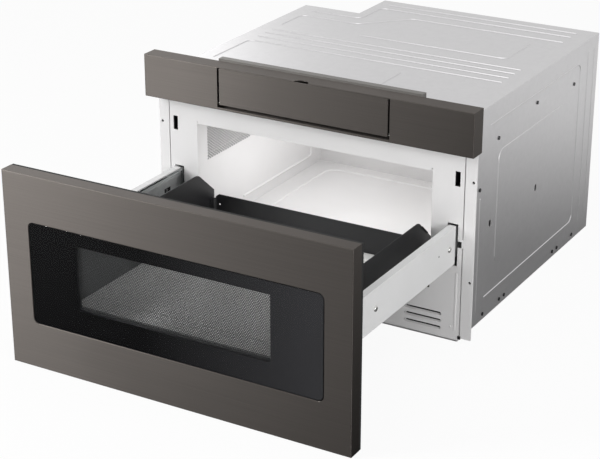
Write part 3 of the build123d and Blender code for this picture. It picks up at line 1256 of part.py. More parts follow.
with BuildPart() as control_board:
    add_board(BOARD_X, BOARD_Y, BOARD_WIDTH, BOARD_DEPTH, CAVITY_TOP, BOARD_Z, BOARD_STANDOFF_INSET)
    board_top = BOARD_Z + BOARD_SHEET
    for dx, dy, width, depth, height in (BOARD_TRANSFORMER, BOARD_SOCKET):
        upright_block(BOARD_X + dx, BOARD_Y + dy, width, depth, board_top, BOARD_Z + height)
    for i in range(RELAY_COUNT):
        dx, dy, width, depth, height = RELAY
        upright_block(BOARD_X + dx + RELAY_PITCH * i, BOARD_Y + dy, width, depth, board_top, BOARD_Z + height)
    for i in range(BOARD_CAPACITOR_COUNT):
        dx, dy = BOARD_CAPACITOR_OFFSET
        rod_z(
            BOARD_CAPACITOR_RADIUS,
            BOARD_X + dx + BOARD_CAPACITOR_PITCH * i,
            BOARD_Y + dy,
            board_top,
            BOARD_Z + BOARD_CAPACITOR_HEIGHT,
        )
control_board.part.label = "control_board"
export_step(control_board.part, "parts/control_board.step")

LAMP_Y = 340.0
LAMP_Z = 235.0
LAMP_SIZE = 40.0
LAMP_DEPTH = 24.0
LAMP_CORNER = 5.0
LAMP_NECK_RADIUS = 9.0
LAMP_NECK = 10.0

with BuildPart() as cavity_lamp:
    block(
        CAVITY_OUTER,
        CAVITY_OUTER + LAMP_DEPTH,
        LAMP_Y - LAMP_SIZE / 2,
        LAMP_Y + LAMP_SIZE / 2,
        LAMP_Z - LAMP_SIZE / 2,
        LAMP_Z + LAMP_SIZE / 2,
    )
    fillet(cavity_lamp.edges().filter_by(Axis.X), LAMP_CORNER)
    rod_x(LAMP_NECK_RADIUS, CAVITY_OUTER + LAMP_DEPTH, CAVITY_OUTER + LAMP_DEPTH + LAMP_NECK, LAMP_Y, LAMP_Z)
cavity_lamp.part.label = "cavity_lamp"
export_step(cavity_lamp.part, "parts/cavity_lamp.step")

CUTOUT_PLACES = ((-100.0, 330.0), (-40.0, 360.0))
CUTOUT_RADIUS = 9.0
CUTOUT_HEIGHT = 8.0
CUTOUT_EAR_LENGTH = 32.0
CUTOUT_EAR_WIDTH = 10.0

with BuildPart() as thermal_cutouts:
    for x, y in CUTOUT_PLACES:
        rod_z(CUTOUT_RADIUS, x, y, CAVITY_TOP, CAVITY_TOP + CUTOUT_HEIGHT)
        upright_block(x, y, CUTOUT_EAR_LENGTH, CUTOUT_EAR_WIDTH, CAVITY_TOP, CAVITY_TOP + SHEET)
thermal_cutouts.part.label = "thermal_cutouts"
export_step(thermal_cutouts.part, "parts/thermal_cutouts.step")

TONGUE_LENGTH = 30.0
TONGUE_SIDE_GAP = 1.5
TONGUE_END_GAP = 4.0
TONGUE_CHAMFER = 1.2
SWITCH_GAP = 2.0
SWITCH_FRONT = TONGUE_LENGTH - DOOR_SHUT_GAP + SWITCH_GAP
SWITCH_DEPTH = 22.0
HOLDER_WALL = 2.0

with BuildPart() as interlock_switches:
    for side in (-1, 1):
        side_block(
            side,
            LATCH_SLOT_INNER - HOLDER_WALL,
            LATCH_SLOT_OUTER + HOLDER_WALL,
            PLATE,
            SWITCH_FRONT + SWITCH_DEPTH,
            LATCH_SLOT_BOTTOM - HOLDER_WALL,
            LATCH_SLOT_TOP + HOLDER_WALL,
        )
        side_block(
            side,
            LATCH_SLOT_INNER,
            LATCH_SLOT_OUTER,
            PLATE - OVERCUT,
            SWITCH_FRONT,
            LATCH_SLOT_BOTTOM,
            LATCH_SLOT_TOP,
            mode=Mode.SUBTRACT,
        )
interlock_switches.part.label = "interlock_switches"
export_step(interlock_switches.part, "parts/interlock_switches.step")

# ================================================================ Telescopic slides
# Each slide has three nested rails: the drawer rail on the arm, the middle rail, and the cabinet rail.
RAIL_OUTER = ARM_OUTER - PLATE
BALL_TRACK = 2 * (BALL_RADIUS + SLIDE_GAP)
DRAWER_RAIL_TOP = ARM_TOP - PLATE
MIDDLE_RAIL_TOP = DRAWER_RAIL_TOP - RAIL_SHEET - BALL_TRACK
CABINET_RAIL_TOP = MIDDLE_RAIL_TOP - RAIL_SHEET - BALL_TRACK
MIDDLE_RAIL_OUTER = RAIL_OUTER - RAIL_SHEET - RAIL_WEB_GAP
RAIL_INNER = ARM_OUTER - SLIDE_WIDTH
CABINET_RAIL_REAR = CABINET_RAIL_FRONT + DRAWER_TRAVEL + CABINET_RAIL_SPARE
MIDDLE_RAIL_INSET = 2.0  # behind the front of the cabinet rail when the drawer is shut
MIDDLE_RAIL_FRONT = CABINET_RAIL_FRONT + MIDDLE_RAIL_INSET - DRAWER_TRAVEL / 2
MIDDLE_RAIL_REAR = MIDDLE_RAIL_FRONT + DRAWER_TRAVEL - MIDDLE_RAIL_SHORT
DRAWER_RAIL_REAR = ARM_REAR - 8.0
BRACKET_INNER = RAIL_INNER - PLATE
BRACKET_BOTTOM = 118.0
BRACKET_TOP = 199.0


def mirrored_z(top):
    """The height as far below the middle of the slide as top is above it."""
    return 2 * ARM_SCREW_Z - top


def add_channel(side, web_near, web_far, lip_near, lip_far, y0, y1, top):
    """Adds a C rail: a web between two lips, centred on the height of the slide."""
    bottom = mirrored_z(top)
    side_block(side, web_near, web_far, y0, y1, bottom, top)
    side_block(side, lip_near, lip_far, y0, y1, top - RAIL_SHEET, top)
    side_block(side, lip_near, lip_far, y0, y1, bottom, bottom + RAIL_SHEET)


with BuildPart() as slide_brackets:
    for side in (-1, 1):
        foot_top = BRACKET_BOTTOM + PLATE
        side_block(side, BRACKET_INNER, RAIL_INNER, PLATE, CABINET_RAIL_REAR, BRACKET_BOTTOM, BRACKET_TOP)
        side_block(side, CAVITY_OUTER, BRACKET_INNER, PLATE, CABINET_RAIL_REAR, BRACKET_BOTTOM, foot_top)
slide_brackets.part.label = "slide_brackets"
export_step(slide_brackets.part, "parts/slide_brackets.step")

with BuildPart() as cabinet_rails:
    for side in (-1, 1):
        add_channel(
            side,
            RAIL_INNER,
            RAIL_INNER + RAIL_SHEET,
            RAIL_INNER,
            MIDDLE_RAIL_OUTER - RAIL_SHEET - SLIDE_GAP,
            CABINET_RAIL_FRONT,
            CABINET_RAIL_REAR,
            CABINET_RAIL_TOP,
        )
cabinet_rails.part.label = "cabinet_rails"
export_step(cabinet_rails.part, "parts/cabinet_rails.step")

with BuildPart() as middle_rails:
    for side in (-1, 1):
        add_channel(
            side,
            MIDDLE_RAIL_OUTER - RAIL_SHEET,
            MIDDLE_RAIL_OUTER,
            RAIL_INNER + SLIDE_GAP,
            MIDDLE_RAIL_OUTER,
            MIDDLE_RAIL_FRONT,
            MIDDLE_RAIL_REAR,
            MIDDLE_RAIL_TOP,
        )
middle_rails.part.label = "middle_rails"
export_step(middle_rails.part, "parts/middle_rails.step")

with BuildPart() as drawer_rails:
    for side in (-1, 1):
        add_channel(
            side,
            RAIL_OUTER - RAIL_SHEET,
            RAIL_OUTER,
            RAIL_INNER + SLIDE_GAP,
            RAIL_OUTER,
            DOOR_REAR + PLATE,
            DRAWER_RAIL_REAR,
            DRAWER_RAIL_TOP,
        )
drawer_rails.part.label = "drawer_rails"
export_step(drawer_rails.part, "parts/drawer_rails.step")

BALL_X = (RAIL_INNER + MIDDLE_RAIL_OUTER - RAIL_SHEET) / 2
CAGE_SIDE_GAP = 0.5
CAGE_HALF_WIDTH = BALL_X - RAIL_INNER - CAGE_SIDE_GAP
CAGE_END = 8.0


def add_ball_cage(side, y_start, track_bottom):
    """Adds one cage strip and its balls in the track that starts at a height."""
    middle = track_bottom + BALL_TRACK / 2
    cage_length = 2 * CAGE_END + (BALL_COUNT - 1) * BALL_PITCH
    with BuildSketch(Plane.XY.offset(middle - CAGE_THICKNESS / 2)) as strip:
        with Locations((side * BALL_X, y_start + cage_length / 2)):
            Rectangle(2 * CAGE_HALF_WIDTH, cage_length)
            with GridLocations(0, BALL_PITCH, 1, BALL_COUNT):
                Circle(BALL_RADIUS + PIN_GAP, mode=Mode.SUBTRACT)
    extrude(strip.sketch, amount=CAGE_THICKNESS)
    with Locations((side * BALL_X, y_start + cage_length / 2, middle)):
        with GridLocations(0, BALL_PITCH, 1, BALL_COUNT):
            Sphere(BALL_RADIUS)


REAR_CAGE_FRONT = 16.0
FRONT_CAGE_FRONT = MIDDLE_RAIL_FRONT + 27.5

with BuildPart() as rear_ball_cages:
    for side in (-1, 1):
        add_ball_cage(side, REAR_CAGE_FRONT, CABINET_RAIL_TOP)
        add_ball_cage(side, REAR_CAGE_FRONT, mirrored_z(CABINET_RAIL_TOP) - BALL_TRACK)
rear_ball_cages.part.label = "rear_ball_cages"
export_step(rear_ball_cages.part, "parts/rear_ball_cages.step")

with BuildPart() as front_ball_cages:
    for side in (-1, 1):
        add_ball_cage(side, FRONT_CAGE_FRONT, MIDDLE_RAIL_TOP)
        add_ball_cage(side, FRONT_CAGE_FRONT, mirrored_z(MIDDLE_RAIL_TOP) - BALL_TRACK)
front_ball_cages.part.label = "front_ball_cages"
export_step(front_ball_cages.part, "parts/front_ball_cages.step")


def add_arm(side):
    """Adds one drawer arm: an angle with its web outside, a foot on the door, and its screw holes."""
    side_block(side, ARM_OUTER - PLATE, ARM_OUTER, DOOR_REAR, ARM_REAR, ARM_BOTTOM, ARM_TOP)
    side_block(side, ARM_OUTER - ARM_WIDTH, ARM_OUTER, DOOR_REAR, ARM_REAR, ARM_TOP - PLATE, ARM_TOP)
    side_block(side, ARM_OUTER - ARM_FOOT, ARM_OUTER, DOOR_REAR, DOOR_REAR + PLATE, ARM_BOTTOM, ARM_TOP)
    for y in ARM_SCREW_YS:
        near, far = sorted((side * (ARM_OUTER - 2 * PLATE), side * (ARM_OUTER + OVERCUT)))
        rod_x(SCREW_SHANK_RADIUS, near, far, y, ARM_SCREW_Z, mode=Mode.SUBTRACT)


with BuildPart() as right_arm:
    add_arm(1)
right_arm.part.label = "right_arm"
export_step(right_arm.part, "parts/right_arm.step")

with BuildPart() as left_arm:
    add_arm(-1)
left_arm.part.label = "left_arm"
export_step(left_arm.part, "parts/left_arm.step")

with BuildPart() as arm_screws:
    for side in (-1, 1):
        for y in ARM_SCREW_YS:
            inner = side * (ARM_OUTER - PLATE)
            seat = side * ARM_OUTER
            outer = side * (ARM_OUTER + SCREW_HEAD_HEIGHT)
            rod_x(SCREW_SHANK_RADIUS, min(inner, seat), max(inner, seat), y, ARM_SCREW_Z)
            rod_x(SCREW_HEAD_RADIUS, min(seat, outer), max(seat, outer), y, ARM_SCREW_Z)
    rims = arm_screws.edges().filter_by(GeomType.CIRCLE).group_by(Axis.X)
    fillet(rims[0] + rims[-1], SCREW_HEAD_DOME)
arm_screws.part.label = "arm_screws"
export_step(arm_screws.part, "parts/arm_screws.step")

# ================================================================ Door
DOOR_HALF_WIDTH = DOOR_WIDTH / 2
WINDOW_MIDDLE = (WINDOW_BOTTOM + WINDOW_TOP) / 2
VIEW_MIDDLE = (VIEW_BOTTOM + VIEW_TOP) / 2
DOOR_EDGE_RADIUS = 1.4
GLASS_INSET = 0.7  # behind the front of the door
GLASS_FRONT = DOOR_FRONT + GLASS_INSET
GLASS_REAR = GLASS_FRONT + GLASS_THICKNESS
GLASS_EDGE = 0.4
CORE_WALL = 3.0
CORE_BORDER = 30.0
CORE_RIBS = (-DOOR_HALF_WIDTH / 2, 0, DOOR_HALF_WIDTH / 2)
SCREEN_FRONT = GLASS_REAR + CORE_WALL
VIEW_CORNER = 4.0
INNER_VIEW_BOTTOM = 106.5  # lower on the door's inner side, so that the tray shows through the window
INNER_VIEW_SPREAD = 18.0  # and wider on both sides, for slanting views
INNER_VIEW_WIDTH = VIEW_WIDTH + 2 * INNER_VIEW_SPREAD
INNER_VIEW_MARGIN = 3.5
WINDOW_CHAMFER = 0.7


def view_cutout(low, width):
    """Cuts the see-through rectangle of the door out of a sketch, down to a height."""
    with Locations((0, (low + VIEW_TOP) / 2)):
        RectangleRounded(width, VIEW_TOP - low, VIEW_CORNER, mode=Mode.SUBTRACT)


def inner_glass_outline():
    """Draws the outline of the door's inner glass in a sketch."""
    low = INNER_VIEW_BOTTOM - INNER_VIEW_MARGIN
    high = VIEW_TOP + SCREEN_MARGIN
    with Locations((0, (low + high) / 2)):
        Rectangle(INNER_VIEW_WIDTH + 2 * INNER_VIEW_MARGIN, high - low)


with BuildPart() as door_skin:
    block(-DOOR_HALF_WIDTH, DOOR_HALF_WIDTH, DOOR_FRONT, DOOR_BACK_FRONT, DOOR_BOTTOM, DOOR_TOP)
    fillet(door_skin.faces().sort_by(Axis.Y)[0].edges(), DOOR_EDGE_RADIUS)
    block(
        PLATE - DOOR_HALF_WIDTH,
        DOOR_HALF_WIDTH - PLATE,
        DOOR_FRONT + PLATE,
        DOOR_BACK_FRONT + OVERCUT,
        DOOR_BOTTOM + PLATE,
        DOOR_TOP - PLATE,
        mode=Mode.SUBTRACT,
    )
    with BuildSketch(front_plane(DOOR_FRONT - OVERCUT)):
        with Locations((0, WINDOW_MIDDLE)):
            RectangleRounded(WINDOW_WIDTH, WINDOW_TOP - WINDOW_BOTTOM, WINDOW_CORNER)
    extrude(amount=-2 * PLATE - OVERCUT, mode=Mode.SUBTRACT)
    chamfer(door_skin.faces().sort_by(Axis.Y)[0].inner_wires().edges(), WINDOW_CHAMFER)
door_skin.part.label = "door_skin"
export_step(door_skin.part, "parts/door_skin.step")

with BuildPart() as door_glass:
    with BuildSketch(front_plane(GLASS_FRONT)):
        with Locations((0, WINDOW_MIDDLE)):
            RectangleRounded(
                WINDOW_WIDTH - 2 * GLASS_GAP,
                WINDOW_TOP - WINDOW_BOTTOM - 2 * GLASS_GAP,
                WINDOW_CORNER - GLASS_GAP,
            )
    extrude(amount=-GLASS_THICKNESS)
    fillet(door_glass.faces().sort_by(Axis.Y)[0].edges(), GLASS_EDGE)
door_glass.part.label = "door_glass"
export_step(door_glass.part, "parts/door_glass.step")

with BuildPart() as door_core:
    with BuildSketch(front_plane(GLASS_REAR)):
        with Locations((0, (DOOR_BOTTOM + DOOR_TOP) / 2)):
            Rectangle(DOOR_WIDTH - 2 * PLATE, DOOR_TOP - DOOR_BOTTOM - 2 * PLATE)
        view_cutout(VIEW_BOTTOM, VIEW_WIDTH)
    extrude(amount=-(DOOR_BACK_FRONT - GLASS_REAR))
    with BuildSketch(front_plane(GLASS_REAR + CORE_WALL)):
        with Locations((0, (DOOR_BOTTOM + DOOR_TOP) / 2)):
            core_margin = 2 * PLATE + 2 * CORE_WALL
            Rectangle(DOOR_WIDTH - core_margin, DOOR_TOP - DOOR_BOTTOM - core_margin)
        with Locations((0, VIEW_MIDDLE)):
            border_height = VIEW_TOP - VIEW_BOTTOM + 2 * CORE_BORDER
            Rectangle(VIEW_WIDTH + 2 * CORE_BORDER, border_height, mode=Mode.SUBTRACT)
        for x in CORE_RIBS:
            with Locations((x, (DOOR_BOTTOM + DOOR_TOP) / 2)):
                Rectangle(CORE_WALL, DOOR_TOP - DOOR_BOTTOM, mode=Mode.SUBTRACT)
    extrude(amount=-(DOOR_BACK_FRONT - GLASS_REAR), mode=Mode.SUBTRACT)
    with BuildSketch(front_plane(SCREEN_FRONT)):
        with Locations((0, VIEW_MIDDLE)):
            Rectangle(VIEW_WIDTH + 2 * SCREEN_MARGIN, VIEW_TOP - VIEW_BOTTOM + 2 * SCREEN_MARGIN)
    extrude(amount=-(DOOR_BACK_FRONT - SCREEN_FRONT), mode=Mode.SUBTRACT)
door_core.part.label = "door_core"
export_step(door_core.part, "parts/door_core.step")

SCREEN_HOLE_RADIUS = 2.4
SCREEN_HOLE_PITCH_X = 14.0
SCREEN_HOLE_PITCH_Z = 12.0

with BuildPart() as door_screen:
    with BuildSketch(front_plane(SCREEN_FRONT)):
        with Locations((0, VIEW_MIDDLE)):
            Rectangle(VIEW_WIDTH + 2 * SCREEN_MARGIN, VIEW_TOP - VIEW_BOTTOM + 2 * SCREEN_MARGIN)
            columns = int(VIEW_WIDTH / SCREEN_HOLE_PITCH_X)
            rows = int((VIEW_TOP - VIEW_BOTTOM) / SCREEN_HOLE_PITCH_Z)
            with GridLocations(SCREEN_HOLE_PITCH_X, SCREEN_HOLE_PITCH_Z, columns, rows):
                Circle(SCREEN_HOLE_RADIUS, mode=Mode.SUBTRACT)
    extrude(amount=-SCREEN_THICKNESS)
door_screen.part.label = "door_screen"
export_step(door_screen.part, "parts/door_screen.step")

INNER_GLASS_THICKNESS = 2.5
BACK_EDGE_INSET = 0.4

with BuildPart() as door_back:
    with BuildSketch(front_plane(DOOR_BACK_FRONT)):
        with Locations((0, (DOOR_BOTTOM + DOOR_TOP) / 2)):
            Rectangle(DOOR_WIDTH, DOOR_TOP - DOOR_BOTTOM - 2 * BACK_EDGE_INSET)
        view_cutout(INNER_VIEW_BOTTOM, INNER_VIEW_WIDTH)
    extrude(amount=-DOOR_BACK_DEPTH)
    with BuildSketch(front_plane(DOOR_REAR - INNER_GLASS_THICKNESS)):
        inner_glass_outline()
    extrude(amount=-2 * INNER_GLASS_THICKNESS, mode=Mode.SUBTRACT)
door_back.part.label = "door_back"
export_step(door_back.part, "parts/door_back.step")

with BuildPart() as door_inner_glass:
    with BuildSketch(front_plane(DOOR_REAR - INNER_GLASS_THICKNESS)):
        inner_glass_outline()
    extrude(amount=-INNER_GLASS_THICKNESS)
door_inner_glass.part.label = "door_inner_glass"
export_step(door_inner_glass.part, "parts/door_inner_glass.step")

CHOKE_CORNER = 6.0
CHOKE_SILL_WIDTH = 3.0
CHOKE_VIEW_BOTTOM = CHOKE_BOTTOM + CHOKE_SILL_WIDTH

with BuildPart() as door_choke:
    with BuildSketch(front_plane(DOOR_REAR)):
        with Locations((0, (CHOKE_BOTTOM + CHOKE_TOP) / 2)):
            RectangleRounded(2 * CHOKE_HALF_WIDTH, CHOKE_TOP - CHOKE_BOTTOM, CHOKE_CORNER)
        view_cutout(CHOKE_VIEW_BOTTOM, INNER_VIEW_WIDTH)
    extrude(amount=-CHOKE_DEPTH)
door_choke.part.label = "door_choke"
export_step(door_choke.part, "parts/door_choke.step")

BUMPER_INSET = 16.2
BUMPER_X = DOOR_HALF_WIDTH - BUMPER_INSET
BUMPER_ZS = (30.0, 300.0)
BUMPER_RADIUS = 5.0
BUMPER_GAP = 0.4
BUMPER_HEIGHT = DOOR_SHUT_GAP - BUMPER_GAP

with BuildPart() as door_bumpers:
    for side in (-1, 1):
        for z in BUMPER_ZS:
            rod_y(BUMPER_RADIUS, side * BUMPER_X, DOOR_REAR, DOOR_REAR + BUMPER_HEIGHT, z)
door_bumpers.part.label = "door_bumpers"
export_step(door_bumpers.part, "parts/door_bumpers.step")

with BuildPart() as interlock_tongues:
    for side in (-1, 1):
        side_block(
            side,
            LATCH_SLOT_INNER + TONGUE_SIDE_GAP,
            LATCH_SLOT_OUTER - TONGUE_SIDE_GAP,
            DOOR_REAR,
            DOOR_REAR + TONGUE_LENGTH,
            LATCH_SLOT_BOTTOM + TONGUE_END_GAP,
            LATCH_SLOT_TOP - TONGUE_END_GAP,
        )
    chamfer(interlock_tongues.faces().sort_by(Axis.Y)[-2:].edges(), TONGUE_CHAMFER)
interlock_tongues.part.label = "interlock_tongues"
export_step(interlock_tongues.part, "parts/interlock_tongues.step")

# ================================================================ Basket
TRAY_BOTTOM = BASKET_BOTTOM + BASKET_SHEET
TRAY_TOP = TRAY_BOTTOM + TRAY_THICKNESS
WING_INNER = BASKET_HALF_WIDTH - BASKET_SHEET
WING_HEM_ENDS = ((-11.5, 193.0), (8.5, 175.7))  # as (y, z), along the sloping shoulder


def add_wing(side):
    """Adds one side wing of the basket, with its sloping rear shoulder and the hem on it."""
    with BuildSketch(side_plane(side, WING_INNER)) as profile:
        with BuildLine():
            Polyline(
                (side * DOOR_REAR, BASKET_BOTTOM),
                (side * DOOR_REAR, WING_TOP),
                (side * WING_SHOULDER_Y, WING_TOP),
                (side * BASKET_REAR, WING_SHOULDER_Z),
                (side * BASKET_REAR, BASKET_BOTTOM),
                close=True,
            )
        make_face()
        top_corners = vertices().group_by(Axis.Y)[-1].sort_by(Axis.X)
        fillet(top_corners[-1 if side > 0 else 0], WING_SHOULDER_RADIUS)
    extrude(profile.sketch, amount=BASKET_SHEET)
    with BuildSketch(side_plane(side, BASKET_HALF_WIDTH)) as hem:
        with BuildLine():
            Polyline(*[(side * y, z) for y, z in WING_HEM_ENDS])
        trace(line_width=BASKET_SHEET)
    extrude(hem.sketch, amount=WING_HEM_WIDTH)


with BuildPart() as left_wing:
    add_wing(-1)
left_wing.part.label = "left_wing"
export_step(left_wing.part, "parts/left_wing.step")

with BuildPart() as right_wing:
    add_wing(1)
right_wing.part.label = "right_wing"
export_step(right_wing.part, "parts/right_wing.step")

with BuildPart() as basket_pan:
    block(-WING_INNER, WING_INNER, DOOR_REAR, BASKET_REAR, BASKET_BOTTOM, TRAY_BOTTOM)
basket_pan.part.label = "basket_pan"
export_step(basket_pan.part, "parts/basket_pan.step")

RAIL_TAB_FRONT = 14.0
RAIL_TAB_TOP = 146.0
RAIL_BEND_RADIUS = 7.0
RAIL_HOLE_X = BASKET_HALF_WIDTH - 13.0
RAIL_HOLE_Z = 135.0
RAIL_HOLE_RADIUS = 1.8
RAIL_SHOULDER_X = BASKET_HALF_WIDTH - 5.5
RAIL_CORNER_X = BASKET_HALF_WIDTH - 11.5

with BuildPart() as basket_rail:
    sheet_x = WING_INNER - BASKET_SHEET / 2
    sheet_y = BASKET_REAR - BASKET_SHEET / 2
    with BuildSketch(Plane.XY.offset(TRAY_BOTTOM)):
        with BuildLine():
            FilletPolyline(
                (-sheet_x, RAIL_TAB_FRONT),
                (-sheet_x, sheet_y),
                (sheet_x, sheet_y),
                (sheet_x, RAIL_TAB_FRONT),
                radius=RAIL_BEND_RADIUS,
            )
        trace(line_width=BASKET_SHEET)
    extrude(amount=BASKET_RAIL_TOP - TRAY_BOTTOM)
    with BuildSketch(front_plane(0)):
        for side in (-1, 1):
            Polygon(
                (side * RAIL_CORNER_X, BASKET_RAIL_TOP),
                (side * RAIL_SHOULDER_X, BASKET_RAIL_TOP - BASKET_RAIL_CHAMFER),
                (side * RAIL_SHOULDER_X, RAIL_TAB_TOP),
                (side * BASKET_HALF_WIDTH, RAIL_TAB_TOP),
                (side * BASKET_HALF_WIDTH, BASKET_RAIL_TOP),
                align=None,
            )
            with Locations((side * RAIL_HOLE_X, RAIL_HOLE_Z)):
                Circle(RAIL_HOLE_RADIUS)
    extrude(amount=-2 * BASKET_REAR, mode=Mode.SUBTRACT)
basket_rail.part.label = "basket_rail"
export_step(basket_rail.part, "parts/basket_rail.step")

TRAY_SIDE = WING_INNER - BASKET_SHEET - TRAY_GAP
TRAY_FRONT = DOOR_REAR + CHOKE_DEPTH + TRAY_GAP
TRAY_REAR = BASKET_REAR - BASKET_SHEET - TRAY_GAP
TRAY_CORNER = 6.0
TRAY_CHAMFER = 1.0
GROOVE_COUNT = 3
GROOVE_DEPTH = 0.8
GROOVE_WIDTH = 2.0
GROOVE_MARGIN = 24.0
GROOVE_CORNER = 12.0

with BuildPart() as ceramic_tray:
    block(-TRAY_SIDE, TRAY_SIDE, TRAY_FRONT, TRAY_REAR, TRAY_BOTTOM, TRAY_TOP)
    fillet(ceramic_tray.edges().filter_by(Axis.Z), TRAY_CORNER)
    chamfer(ceramic_tray.faces().sort_by(Axis.Z)[-1].edges(), TRAY_CHAMFER)
    with BuildSketch(Plane.XY.offset(TRAY_TOP)):
        for i in range(GROOVE_COUNT):
            inset = GROOVE_MARGIN + i * TRAY_GROOVE_PITCH
            width = 2 * (TRAY_SIDE - inset)
            depth = TRAY_REAR - TRAY_FRONT - 2 * inset
            with Locations((0, (TRAY_FRONT + TRAY_REAR) / 2)):
                RectangleRounded(width, depth, GROOVE_CORNER)
                RectangleRounded(
                    width - 2 * GROOVE_WIDTH,
                    depth - 2 * GROOVE_WIDTH,
                    GROOVE_CORNER - GROOVE_WIDTH,
                    mode=Mode.SUBTRACT,
                )
    extrude(amount=-GROOVE_DEPTH, mode=Mode.SUBTRACT)
ceramic_tray.part.label = "ceramic_tray"
export_step(ceramic_tray.part, "parts/ceramic_tray.step")

# ================================================================ Rack, pinion and drawer motor
PITCH_RADIUS = GEAR_MODULE * PINION_TEETH / 2
PINION_Z = RACK_PITCH_LINE - PITCH_RADIUS - GEAR_BACKLASH
GEAR_PITCH = pi * GEAR_MODULE
ADDENDUM = GEAR_MODULE
DEDENDUM = 1.25 * GEAR_MODULE
FLANK_STEPS = 6
RACK_REAR = PINION_Y + RACK_OVERRUN


def involute(angle):
    return tan(angle) - angle


def gear_points(teeth, module):
    """Outline of an involute gear, with a tooth centred on +Y, as points about the gear's centre."""
    pitch_radius = module * teeth / 2
    base_radius = pitch_radius * cos(GEAR_PRESSURE_ANGLE)
    tip_radius = pitch_radius + ADDENDUM
    root_radius = pitch_radius - DEDENDUM
    half_pitch_angle = pi / (2 * teeth) - GEAR_BACKLASH / (2 * pitch_radius)
    flank = []
    for i in range(FLANK_STEPS + 1):
        radius = base_radius + (tip_radius - base_radius) * i / FLANK_STEPS
        pressure = acos(min(1.0, base_radius / radius))
        flank.append((radius, half_pitch_angle + involute(GEAR_PRESSURE_ANGLE) - involute(pressure)))
    flank.insert(0, (root_radius, flank[0][1]))
    points = []
    for tooth in range(teeth):
        middle = pi / 2 - tooth * 2 * pi / teeth
        for radius, angle in flank:
            points.append((radius * cos(middle + angle), radius * sin(middle + angle)))
        for radius, angle in reversed(flank):
            points.append((radius * cos(middle - angle), radius * sin(middle - angle)))
    return points


def rack_points():
    """Outline of the rack, with a tooth gap centred over the pinion."""
    half_top = GEAR_PITCH / 4 - GEAR_BACKLASH / 2
    tip_half = half_top - ADDENDUM * tan(GEAR_PRESSURE_ANGLE)
    root_half = half_top + DEDENDUM * tan(GEAR_PRESSURE_ANGLE)
    teeth_behind = int((RACK_REAR - PINION_Y) / GEAR_PITCH)
    teeth_ahead = int((PINION_Y - DOOR_REAR - PLATE) / GEAR_PITCH) - 1
    points = [(RACK_REAR, RACK_TOP), (DOOR_REAR, RACK_TOP), (DOOR_REAR, RACK_PITCH_LINE + DEDENDUM)]
    for i in range(-teeth_ahead, teeth_behind):
        middle = PINION_Y + (i + 0.5) * GEAR_PITCH
        points += [
            (middle - root_half, RACK_PITCH_LINE + DEDENDUM),
            (middle - tip_half, RACK_PITCH_LINE - ADDENDUM),
            (middle + tip_half, RACK_PITCH_LINE - ADDENDUM),
            (middle + root_half, RACK_PITCH_LINE + DEDENDUM),
        ]
    points.append((RACK_REAR, RACK_PITCH_LINE + DEDENDUM))
    return points


with BuildPart() as drive_rack:
    with BuildSketch(Plane.YZ.offset(-GEAR_WIDTH / 2)):
        with BuildLine():
            Polyline(*rack_points(), close=True)
        make_face()
    extrude(amount=GEAR_WIDTH)
    block(
        -RACK_FOOT_HALF_WIDTH,
        RACK_FOOT_HALF_WIDTH,
        DOOR_REAR,
        DOOR_REAR + PLATE,
        RACK_FOOT_BOTTOM,
        RACK_FOOT_TOP,
    )
drive_rack.part.label = "drive_rack"
export_step(drive_rack.part, "parts/drive_rack.step")

BEARING_GAP = 2.0
BEARING_WALL = 3.0
GEARBOX_GAP = 4.0
GEARBOX_WIDTH = 34.0
GEARBOX_NEAR = GEAR_WIDTH / 2 + GEARBOX_GAP
GEARBOX_FAR = GEARBOX_NEAR + GEARBOX_WIDTH
SHAFT_REACH = 8.0

with BuildPart() as drive_pinion:
    with BuildSketch(Plane(origin=(-GEAR_WIDTH / 2, PINION_Y, PINION_Z), x_dir=(0, 1, 0), z_dir=(1, 0, 0))):
        with BuildLine():
            Polyline(*gear_points(PINION_TEETH, GEAR_MODULE), close=True)
        make_face()
    extrude(amount=GEAR_WIDTH)
    rod_x(
        PINION_SHAFT_RADIUS,
        -GEAR_WIDTH / 2 - BEARING_GAP - BEARING_WALL,
        GEARBOX_NEAR + SHAFT_REACH,
        PINION_Y,
        PINION_Z,
    )
drive_pinion.part.label = "drive_pinion"
export_step(drive_pinion.part, "parts/drive_pinion.step")

GEARBOX_FRONT = PLATE + SHEET
GEARBOX_REAR = 50.0
GEARBOX_TOP = 62.0
MOTOR_RADIUS = 16.0
MOTOR_LENGTH = 48.0
MOTOR_Y = GEARBOX_REAR - MOTOR_RADIUS - 4.0

with BuildPart() as drawer_motor:
    block(GEARBOX_NEAR, GEARBOX_FAR, GEARBOX_FRONT, GEARBOX_REAR, SHEET, GEARBOX_TOP)
    rod_x(MOTOR_RADIUS, GEARBOX_FAR, GEARBOX_FAR + MOTOR_LENGTH, MOTOR_Y, PINION_Z)
    rod_x(
        PINION_SHAFT_RADIUS + PIN_GAP,
        GEARBOX_NEAR - OVERCUT,
        GEARBOX_NEAR + SHAFT_REACH + OVERCUT,
        PINION_Y,
        PINION_Z,
        mode=Mode.SUBTRACT,
    )
drawer_motor.part.label = "drawer_motor"
export_step(drawer_motor.part, "parts/drawer_motor.step")

GUIDE_REAR = 24.0
GUIDE_TOP = 72.0
BEARING_TOP = 60.0
BEARING_REAR = PINION_Y + 10.0

